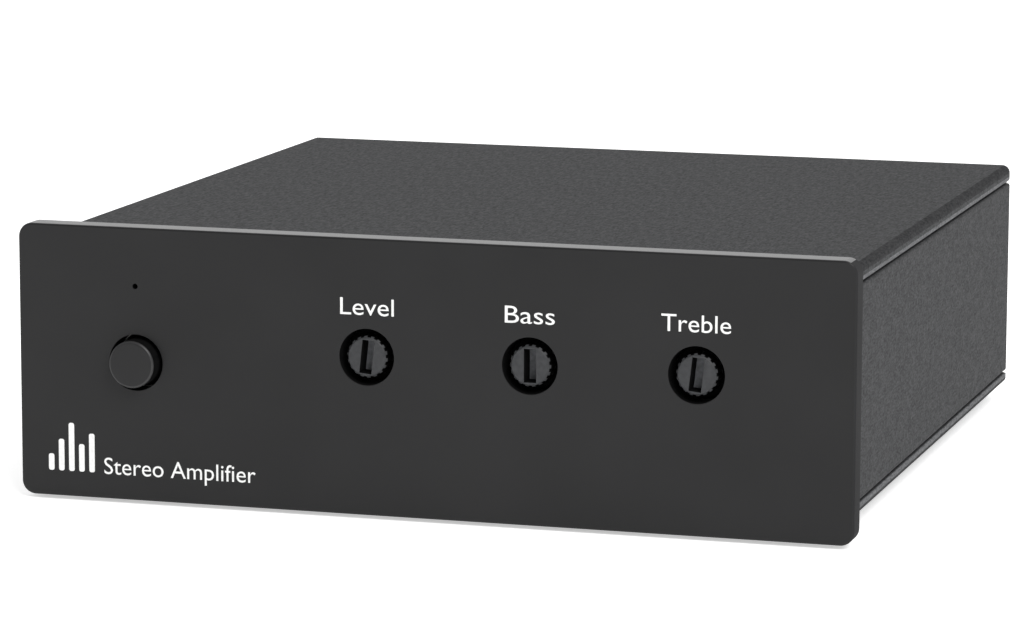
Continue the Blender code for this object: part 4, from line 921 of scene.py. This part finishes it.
# ---------------------------------------------------------------- front controls
def make_control_shafts():
    """A knurled shaft end with a turned tip and a screwdriver slot, made once and set at three tilts."""
    low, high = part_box("bass_shaft")
    axis = Vector((0, 0, 0))
    radius = centre_of("bass_shaft").z - low.z
    knurl_end = low.y + KNURL_LENGTH
    shaft = rod(axis, radius - TOOTH_HEIGHT, low.y - OVERLAP, knurl_end, TEETH * 4)
    shaft.name = "knurled_shaft"
    take(shaft)
    bpy.ops.object.mode_set(mode="EDIT")
    tooth = math.tau / TEETH
    pick_faces(
        shaft,
        lambda middle, normal: abs(normal.y) < 0.5
        and (math.atan2(middle.z, middle.x) + tooth / 4) % tooth < tooth / 2,
    )
    bpy.ops.mesh.extrude_region_shrink_fatten(TRANSFORM_OT_shrink_fatten={"value": TOOTH_HEIGHT})
    bpy.ops.object.mode_set(mode="OBJECT")
    past = radius + OVERLAP
    envelope = turned(
        "envelope", axis,
        [
            (radius - KNURL_CHAMFER, low.y), (radius, low.y + KNURL_CHAMFER),
            (past, low.y + KNURL_CHAMFER + OVERLAP), (past, knurl_end - KNURL_CHAMFER),
            (JOURNAL_RADIUS - TOOTH_HEIGHT, knurl_end + SAME * 10),
        ],
    )
    combine(shaft, "INTERSECT", [envelope])
    combine(shaft, "UNION", [rod(axis, JOURNAL_RADIUS, knurl_end - KNURL_CHAMFER, high.y)])
    slot = block(
        "slot", (-SLOT_WIDTH / 2, low.y - OVERLAP, -SLOT_LENGTH / 2),
        (SLOT_WIDTH / 2, low.y + SLOT_DEPTH, SLOT_LENGTH / 2),
    )
    combine(shaft, "DIFFERENCE", [slot])
    round_edges(
        shaft, SLOT_EDGE, 2,
        lambda a, b: at_depth(low.y)(a, b) and all(abs(p.x) < SLOT_WIDTH * 0.6 for p in (a, b))
        and all(abs(p.z) < SLOT_LENGTH * 0.51 for p in (a, b)),
    )
    for name in CONTROLS:
        joint = next(j for j in frame["joints"] if j["name"] == f"{name}_turn")
        place = Vector(joint["pos_m"])
        tilt = -math.radians(sum(joint["range_deg"]) / 2)
        piece = copy_to(shaft, f"slotted_shaft_{name}", (place.x, 0, place.z), tilt)
        finish_piece(piece, "shaft", f"{name}_control", [f"{name}_shaft"])
        # Painted shade: the shaft's sides inside its hole and the slot's walls are made near-black.
        refinish(piece, "gap_shade", lambda middle, normal: abs(normal.y) < 0.2)
        # Painted light: the slot's floor takes the lighter grey against its shade.
        floor = low.y + SLOT_DEPTH
        refinish(piece, "slot_floor_light", lambda middle, normal: normal.y < -0.9 and near(middle.y, floor))
    bpy.data.objects.remove(shaft)


def make_power_button():
    """A turned cap with a rounded edge, and a flange behind the plate that keeps it in."""
    low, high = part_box("power_button_cap")
    flange_radius = (high.x - low.x) / 2
    flange_front = high.y - BUTTON_FLANGE
    cap = turned(
        "button_cap", BUTTON_PLACE,
        [
            (BUTTON_RADIUS, low.y), (BUTTON_RADIUS, flange_front), (flange_radius, flange_front),
            (flange_radius, high.y), (BUTTON_SOCKET_RADIUS, high.y),
            (BUTTON_SOCKET_RADIUS, high.y - BUTTON_SOCKET_DEPTH),
        ],
    )
    round_edges(cap, BUTTON_EDGE, 6, on_ring(BUTTON_PLACE, BUTTON_RADIUS, low.y))
    finish_piece(cap, "button", "power_button", ["power_button_cap"])
    # Painted shade: the cap's side and all behind its rounded face are made near-black, for the gap round
    # it.
    refinish(
        cap, "gap_shade",
        lambda middle, normal: abs(normal.y) < 0.2 or middle.y > low.y + BUTTON_EDGE * 2,
    )
    # Painted highlight: the rounded rim of the cap's face takes the lighter copy.
    refinish(
        cap, "rim_highlight",
        lambda middle, normal: -0.93 < normal.y < -0.2 and middle.y < low.y + BUTTON_EDGE,
    )


# ---------------------------------------------------------------- rear sockets
TRIGGER_PLACE = Vector((centre_of("trigger_jack").x, REAR_HIGH.y, BOARD_HIGH.z + TRIGGER_RISE))
POWER_PLACE = Vector((centre_of("power_jack").x, REAR_HIGH.y, BOARD_HIGH.z + POWER_RISE))


def make_jack(node, name, place, nose_radius, bore_radius, bore_depth):
    """A board-mounted jack: a moulded body and a round nose that comes level with the rear plate."""
    low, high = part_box(node)
    body_end = REAR_LOW.y - CONTACT_GAP
    jack = block(name, low, (high.x, body_end, high.z))
    round_edges(jack, MOULDED_EDGE, 3, lambda a, b: True)
    combine(jack, "UNION", [rod(place, nose_radius, body_end - 2 * OVERLAP, high.y)])
    bore = rod(place, bore_radius, high.y - bore_depth, high.y + OVERLAP)
    combine(jack, "DIFFERENCE", [bore])
    round_edges(jack, BORE_EDGE, 3, rim_of(place, bore_radius, high.y))
    round_edges(jack, THIN_EDGE, 2, on_ring(place, nose_radius, high.y))
    finish_piece(jack, "black", stands_for=[node])


def make_jacks():
    make_jack(
        "trigger_jack", "trigger_housing", TRIGGER_PLACE, TRIGGER_NOSE_RADIUS, TRIGGER_BORE_RADIUS,
        TRIGGER_BORE_DEPTH,
    )
    make_jack(
        "power_jack", "power_housing", POWER_PLACE, POWER_NOSE_RADIUS, POWER_BORE_RADIUS,
        POWER_BORE_DEPTH,
    )
    tip = REAR_HIGH.y - POWER_PIN_SETBACK
    pin = turned(
        "power_pin", POWER_PLACE,
        [(POWER_PIN_RADIUS, REAR_HIGH.y - POWER_BORE_DEPTH + SAME), (POWER_PIN_RADIUS, tip)],
        FINE,
    )
    round_edges(pin, POWER_PIN_RADIUS * 0.6, 5, on_ring(POWER_PLACE, POWER_PIN_RADIUS, tip))
    finish_piece(pin, "nickel")
    ring_front = REAR_HIGH.y - TRIGGER_BORE_DEPTH * 0.6
    ring_rear = REAR_HIGH.y - TRIGGER_CONTACT_SETBACK
    ring = turned(
        "trigger_contact", TRIGGER_PLACE,
        [
            (TRIGGER_BORE_RADIUS - CONTACT_WALL, ring_front), (TRIGGER_BORE_RADIUS - SAME, ring_front),
            (TRIGGER_BORE_RADIUS - SAME, ring_rear), (TRIGGER_BORE_RADIUS - CONTACT_WALL, ring_rear),
        ],
        FINE, through=True,
    )
    finish_piece(ring, "nickel")


def make_phono_sockets():
    """One moulded body, and for each channel a plated sleeve, a coloured core and its contact."""
    low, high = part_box("rca_socket_body")
    body_end = REAR_LOW.y - 2 * CONTACT_GAP - SLEEVE_FLANGE
    body = block("phono_body", low, (high.x, body_end, high.z))
    round_edges(body, PHONO_BODY_EDGE, 3, lambda a, b: True)
    finish_piece(body, "black", stands_for=["rca_socket_body"])
    for channel, colour in (("left", "white"), ("right", "red")):
        node = f"rca_sleeve_{channel}"
        low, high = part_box(node)
        centre, flange_radius = (low + high) / 2, (high.x - low.x) / 2
        inner = SLEEVE_RADIUS - SLEEVE_WALL
        flange_end = low.y + SLEEVE_FLANGE
        sleeve = turned(
            f"phono_sleeve_{channel}", centre,
            [
                (inner, low.y), (flange_radius, low.y), (flange_radius, flange_end),
                (SLEEVE_RADIUS, flange_end), (SLEEVE_RADIUS, high.y), (inner, high.y),
            ],
            through=True,
        )
        round_edges(sleeve, SLEEVE_EDGE, 3, on_ring(centre, SLEEVE_RADIUS, high.y))
        round_edges(sleeve, THIN_EDGE, 2, on_ring(centre, inner, high.y))
        finish_piece(sleeve, "gold", stands_for=[node])
        core_radius = inner - CORE_GAP
        core_end = high.y - CORE_SETBACK
        core = turned(
            f"phono_core_{channel}", centre,
            [
                (core_radius, body_end + SAME), (core_radius, core_end), (CORE_BORE_RADIUS, core_end),
                (CORE_BORE_RADIUS, core_end - CORE_BORE_DEPTH),
            ],
        )
        round_edges(core, CORE_EDGE, 3, on_ring(centre, core_radius, core_end))
        round_edges(core, SMALL_EDGE, 3, on_ring(centre, CORE_BORE_RADIUS, core_end))
        finish_piece(core, colour)
        lining = CORE_BORE_RADIUS - SAME
        contact_front = core_end - CORE_BORE_DEPTH + SAME
        contact_rear = core_end - PHONO_CONTACT_SETBACK
        contact = turned(
            f"phono_contact_{channel}", centre,
            [
                (lining - CONTACT_WALL, contact_front), (lining, contact_front),
                (lining, contact_rear), (lining - CONTACT_WALL, contact_rear),
            ],
            FINE, through=True,
        )
        finish_piece(contact, "gold")


def make_terminal_bases():
    """Moulded bases with rounded ends; a bush on each keeps its post clear of the plate."""
    for channel in ("right", "left"):
        node = f"terminal_base_{channel}"
        low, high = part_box(node)
        front = high.y - BASE_PLATE
        places = [centre_of(f"terminal_post_{p}") for p in POSTS if p.startswith(channel)]
        base = block(f"terminal_seat_{channel}", (low.x, front, low.z), high)
        round_edges(base, BASE_CORNER, 10, along_y)
        round_edges(base, BASE_EDGE, 4, at_depth(high.y))
        combine(base, "UNION", [rod(p, BUSH_RADIUS, low.y, front + OVERLAP) for p in places])
        bore = POST_RADIUS + CONTACT_GAP
        combine(base, "DIFFERENCE", [rod(p, bore, low.y - OVERLAP, high.y + OVERLAP) for p in places])
        for p in places:
            round_edges(base, HOLE_EDGE, 2, rim_of(p, bore, high.y))
        finish_piece(base, "black", stands_for=[node])


def thread_profile(start, end):
    """Ridges at an even pitch between two places, as (radius, place)."""
    ridges = int((end - start) / THREAD_PITCH)
    points = []
    for i in range(ridges):
        place = start + i * THREAD_PITCH
        points += [
            (POST_RADIUS - THREAD_DEPTH, place + THREAD_PITCH * 0.15),
            (POST_RADIUS, place + THREAD_PITCH * 0.55),
            (POST_RADIUS, place + THREAD_PITCH * 0.70),
        ]
    return points


def make_posts():
    """Threaded, plated posts, bored for a 4 mm plug."""
    low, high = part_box(f"terminal_post_{POSTS[0]}")
    shoulder_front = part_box("terminal_base_right")[1].y + CONTACT_GAP
    shoulder_rear = shoulder_front + POST_SHOULDER
    stud = low.y + POST_PIN_LENGTH
    end = high.y
    axis = Vector((0, 0, 0))
    post = turned(
        "post", axis,
        [
            (POST_PIN_RADIUS, low.y), (POST_PIN_RADIUS, stud), (POST_RADIUS, stud),
            (POST_RADIUS, shoulder_front), (POST_SHOULDER_RADIUS, shoulder_front),
            (POST_SHOULDER_RADIUS, shoulder_rear), (POST_RADIUS - THREAD_DEPTH, shoulder_rear),
            *thread_profile(shoulder_rear, end - THREAD_PITCH),
            (POST_RADIUS - THREAD_DEPTH, end - THREAD_PITCH * 0.8),
            (POST_RADIUS - THREAD_DEPTH, end), (POST_BORE_RADIUS, end),
            (POST_BORE_RADIUS, end - POST_BORE_DEPTH),
        ],
        FINE,
    )
    round_edges(post, SMALL_EDGE, 2, on_ring(axis, POST_SHOULDER_RADIUS, shoulder_rear))
    round_edges(post, SMALL_EDGE, 3, on_ring(axis, POST_BORE_RADIUS, end))
    for name in POSTS:
        node = f"terminal_post_{name}"
        centre = centre_of(node)
        piece = copy_to(post, f"threaded_post_{name}", (centre.x, 0, centre.z))
        finish_piece(piece, "gold", stands_for=[node])
    bpy.data.objects.remove(post)


def make_washers():
    low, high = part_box(f"clamp_washer_{POSTS[0]}")
    radius = (high.x - low.x) / 2
    axis = Vector((0, 0, 0))
    inner = POST_RADIUS + CONTACT_GAP
    washer = turned(
        "washer", axis, [(inner, low.y), (radius, low.y), (radius, high.y), (inner, high.y)],
        through=True,
    )
    for place in (low.y, high.y):
        round_edges(washer, THIN_EDGE, 3, on_ring(axis, radius, place))
    for name in POSTS:
        node = f"clamp_washer_{name}"
        centre = centre_of(node)
        piece = copy_to(washer, f"captive_washer_{name}", (centre.x, 0, centre.z))
        finish_piece(piece, "gold", f"clamp_{name}", [node])
    bpy.data.objects.remove(washer)


def make_thumb_nuts():
    """Fluted plastic nuts, each with a plated insert let into its outer end."""
    low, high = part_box(f"thumb_nut_{POSTS[0]}")
    radius = (high.x - low.x) / 2
    axis = Vector((0, 0, 0))
    floor = high.y - NUT_COUNTERBORE_DEPTH
    nut = turned(
        "nut", axis,
        [
            (NUT_BORE_RADIUS, low.y), (radius, low.y), (radius, high.y),
            (NUT_COUNTERBORE_RADIUS, high.y), (NUT_COUNTERBORE_RADIUS, floor), (NUT_BORE_RADIUS, floor),
        ],
        through=True,
    )
    for place in (low.y, high.y):
        round_edges(nut, NUT_END_EDGE, 4, on_ring(axis, radius, place))
    take(nut)
    bpy.ops.object.mode_set(mode="EDIT")
    flute = math.tau / NUT_FLUTES
    pick_faces(
        nut,
        lambda middle, normal: abs(normal.y) < 0.05 and off_axis(middle, axis) > radius * 0.99
        and (math.atan2(middle.z, middle.x) + flute / 2) % flute < flute * 3 / 8,
    )
    bpy.ops.mesh.extrude_region_shrink_fatten(TRANSFORM_OT_shrink_fatten={"value": -NUT_FLUTE_DEPTH})
    bpy.ops.object.mode_set(mode="OBJECT")
    insert_front, insert_rear = floor + SAME, high.y - INSERT_SETBACK
    insert = turned(
        "insert", axis,
        [
            (NUT_BORE_RADIUS, insert_front), (NUT_COUNTERBORE_RADIUS - SAME, insert_front),
            (NUT_COUNTERBORE_RADIUS - SAME, insert_rear), (NUT_BORE_RADIUS, insert_rear),
        ],
        through=True,
    )
    round_edges(insert, SMALL_EDGE, 3, on_ring(axis, NUT_BORE_RADIUS, insert_rear))
    for name in POSTS:
        node = f"thumb_nut_{name}"
        centre = centre_of(node)
        colour = "red" if name.endswith("positive") else "black"
        piece = copy_to(nut, f"fluted_nut_{name}", (centre.x, 0, centre.z))
        finish_piece(piece, colour, f"nut_{name}", [node])
        piece = copy_to(insert, f"nut_insert_{name}", (centre.x, 0, centre.z))
        finish_piece(piece, "gold", f"nut_{name}")
    bpy.data.objects.remove(nut)
    bpy.data.objects.remove(insert)


# ---------------------------------------------------------------- printing
def print_words(name, words, start, baseline, capital, face, width=None, centred=False, at_rear=False):
    """Words printed on a face. The start is the left end, or the middle of centred words."""
    bpy.ops.object.select_all(action="DESELECT")
    bpy.ops.object.text_add()
    text = bpy.context.object
    text.data.body = words
    text.data.size = capital / CAP_SHARE
    text.data.offset = INK_SPREAD * text.data.size
    text.data.resolution_u = 4
    text.data.extrude = INK
    bpy.ops.object.convert(target="MESH")
    text = set_down(name)
    low = min(v.co.x for v in text.data.vertices)
    high = max(v.co.x for v in text.data.vertices)
    share = width / (high - low) if width else 1.0
    anchor = (low + high) / 2 if centred else low
    towards = -1 if at_rear else 1
    text.rotation_euler = (math.pi / 2, 0, math.pi if at_rear else 0)
    text.scale = (share, 1, 1)
    text.location = (start - towards * anchor * share, face, baseline)
    set_down(name)
    finish_piece(text, "ink")


def print_front():
    for words, (start, width) in LABELS.items():
        print_words(f"word_{words.lower()}", words, start, LABEL_BASE, LABEL_CAPITAL, FACE, width)
    print_words("word_kind", "Stereo Amplifier", KIND_START, KIND_BASE, KIND_CAPITAL, FACE)
    for i, height in enumerate(MARK_BAR_HEIGHTS):
        x = MARK_LEFT + i * MARK_PITCH
        low = (x, FACE - INK, MARK_BASE)
        bar = block(f"mark_bar_{i + 1}", low, (x + MARK_BAR_WIDTH, FACE + INK, MARK_BASE + height))
        round_edges(bar, MARK_BAR_EDGE, 4, along_y)
        finish_piece(bar, "ink")


def print_rear():
    def rear_word(name, words, x, baseline, capital=REAR_CAPITAL):
        print_words(name, words, x, baseline, capital, REAR_HIGH.y, centred=True, at_rear=True)

    over_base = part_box("terminal_base_right")[1].z
    for channel in ("right", "left"):
        places = [centre_of(f"terminal_post_{p}").x for p in POSTS if p.startswith(channel)]
        middle = sum(places) / len(places)
        rear_word(f"word_{channel}", channel.capitalize(), middle, over_base + CHANNEL_WORD_RISE)
    for name in POSTS:
        sign = "+" if name.endswith("positive") else "-"
        x = centre_of(f"terminal_post_{name}").x
        rear_word(f"sign_{name}", sign, x, over_base + SIGN_RISE, SIGN_CAPITAL)
    for side in SIDES:
        place = centre_of(f"rca_sleeve_{side}")
        rear_word(f"letter_{side}", side[0].upper(), place.x + LETTER_ASIDE, place.z - REAR_CAPITAL / 2)
    rear_word("word_input", "In", centre_of("rca_sleeve_left").x, INPUT_WORD_BASE)
    rear_word("word_trigger", "Trigger", TRIGGER_PLACE.x, TRIGGER_PLACE.z + TRIGGER_WORD_RISE)
    rear_word("word_power", "Power", POWER_PLACE.x, POWER_PLACE.z + POWER_WORD_RISE)


# ---------------------------------------------------------------- pieces inside the case
INNER_PIECES = {
    "zinc": ["front_bracket"],
    "board": ["control_board", "main_board"],
    "black": ["board_connector", "power_switch_plunger", "power_switch_body", "amplifier_chip"],
    "lens": ["status_led"],
    "aluminium": ["heatsink"],
    "sleeve": ["reservoir_capacitor_front", "reservoir_capacitor_rear"],
    "ferrite": [f"output_inductor_{side}" for side in SIDES],
    # painted shade: the pot bodies, seen through the gaps round the shafts, are made near-black
    "gap_shade": [f"{name}_pot_body" for name in CONTROLS],
    "black_zinc": [f"plate_screw_{side}" for side in SIDES]
    + [f"bracket_screw_{side}_{height}" for side in SIDES for height in ("low", "high")],
}


def dress_inner_pieces():
    for finish, nodes in INNER_PIECES.items():
        for node in nodes:
            for slot in frame["nodes"][node].material_slots:
                slot.material = FINISHES[finish]


# ---------------------------------------------------------------- studio
def make_camera():
    """A long lens, a little above the amplifier and to its right."""
    data = bpy.data.cameras.new("camera")
    data.lens = LENS
    data.sensor_width = SENSOR
    data.clip_start = NEAREST
    camera = bpy.data.objects.new("camera", data)
    camera.location = CAMERA_PLACE
    camera.rotation_euler = [math.radians(a) for a in CAMERA_DEGREES]
    bpy.context.scene.collection.objects.link(camera)
    bpy.context.scene.camera = camera


def make_floor():
    bpy.ops.object.select_all(action="DESELECT")
    bpy.ops.mesh.primitive_plane_add(size=FLOOR_SIZE, location=(0, 0, -FLOOR_DROP))
    floor = set_down("floor")
    finish = Finish("floor_white", (0.9, 0.9, 0.9), 0.9)
    finish.tint(finish.noise(0.6, 2.0), (0.88, 0.88, 0.88), (0.92, 0.92, 0.92))
    finish.set("Specular IOR Level", 0.0)
    finish.set("Emission Color", (1.0, 1.0, 1.0, 1.0))
    finish.set("Emission Strength", FLOOR_GLOW)
    floor.data.materials.append(finish.material)


def make_light(name, place, target, width, height, power):
    data = bpy.data.lights.new(name, "AREA")
    data.shape = "RECTANGLE"
    data.size, data.size_y = width, height
    data.energy = power
    light = bpy.data.objects.new(name, data)
    light.location = place
    light.rotation_euler = (Vector(target) - Vector(place)).to_track_quat("-Z", "Y").to_euler()
    bpy.context.scene.collection.objects.link(light)


def make_studio():
    scene = bpy.context.scene
    scene.view_settings.view_transform = "Standard"
    scene.world = bpy.data.worlds.new("white_room")
    scene.world.use_nodes = True
    tree = scene.world.node_tree
    background = tree.nodes["Background"]
    background.inputs["Color"].default_value = (1.0, 1.0, 1.0, 1.0)
    direction = tree.nodes.new("ShaderNodeTexCoord")
    along = tree.nodes.new("ShaderNodeSeparateXYZ")
    brightness = tree.nodes.new("ShaderNodeMapRange")
    brightness.interpolation_type = "SMOOTHSTEP"
    for socket, value in (
        ("From Min", ROOM_START), ("From Max", ROOM_END),
        ("To Min", ROOM_IN_FRONT), ("To Max", ROOM_BEHIND),
    ):
        brightness.inputs[socket].default_value = value
    tree.links.new(direction.outputs["Generated"], along.inputs["Vector"])
    tree.links.new(along.outputs["Y"], brightness.inputs["Value"])
    tree.links.new(brightness.outputs["Result"], background.inputs["Strength"])
    make_light("key", KEY_PLACE, KEY_TARGET, KEY_SIZE, KEY_SIZE, KEY_POWER)


make_camera()
make_front_plate()
make_cover("top_cover", "top_shell", 1, **TOP_COVER)
make_cover("bottom_cover", "bottom_shell", -1, **BOTTOM_COVER)
make_side_panel("left", -1)
make_side_panel("right", 1)
make_rear_plate()
make_feet()
make_rear_screws()
make_control_shafts()
make_power_button()
make_jacks()
make_phono_sockets()
make_terminal_bases()
make_posts()
make_washers()
make_thumb_nuts()
print_front()
print_rear()
dress_inner_pieces()
make_floor()
make_studio()
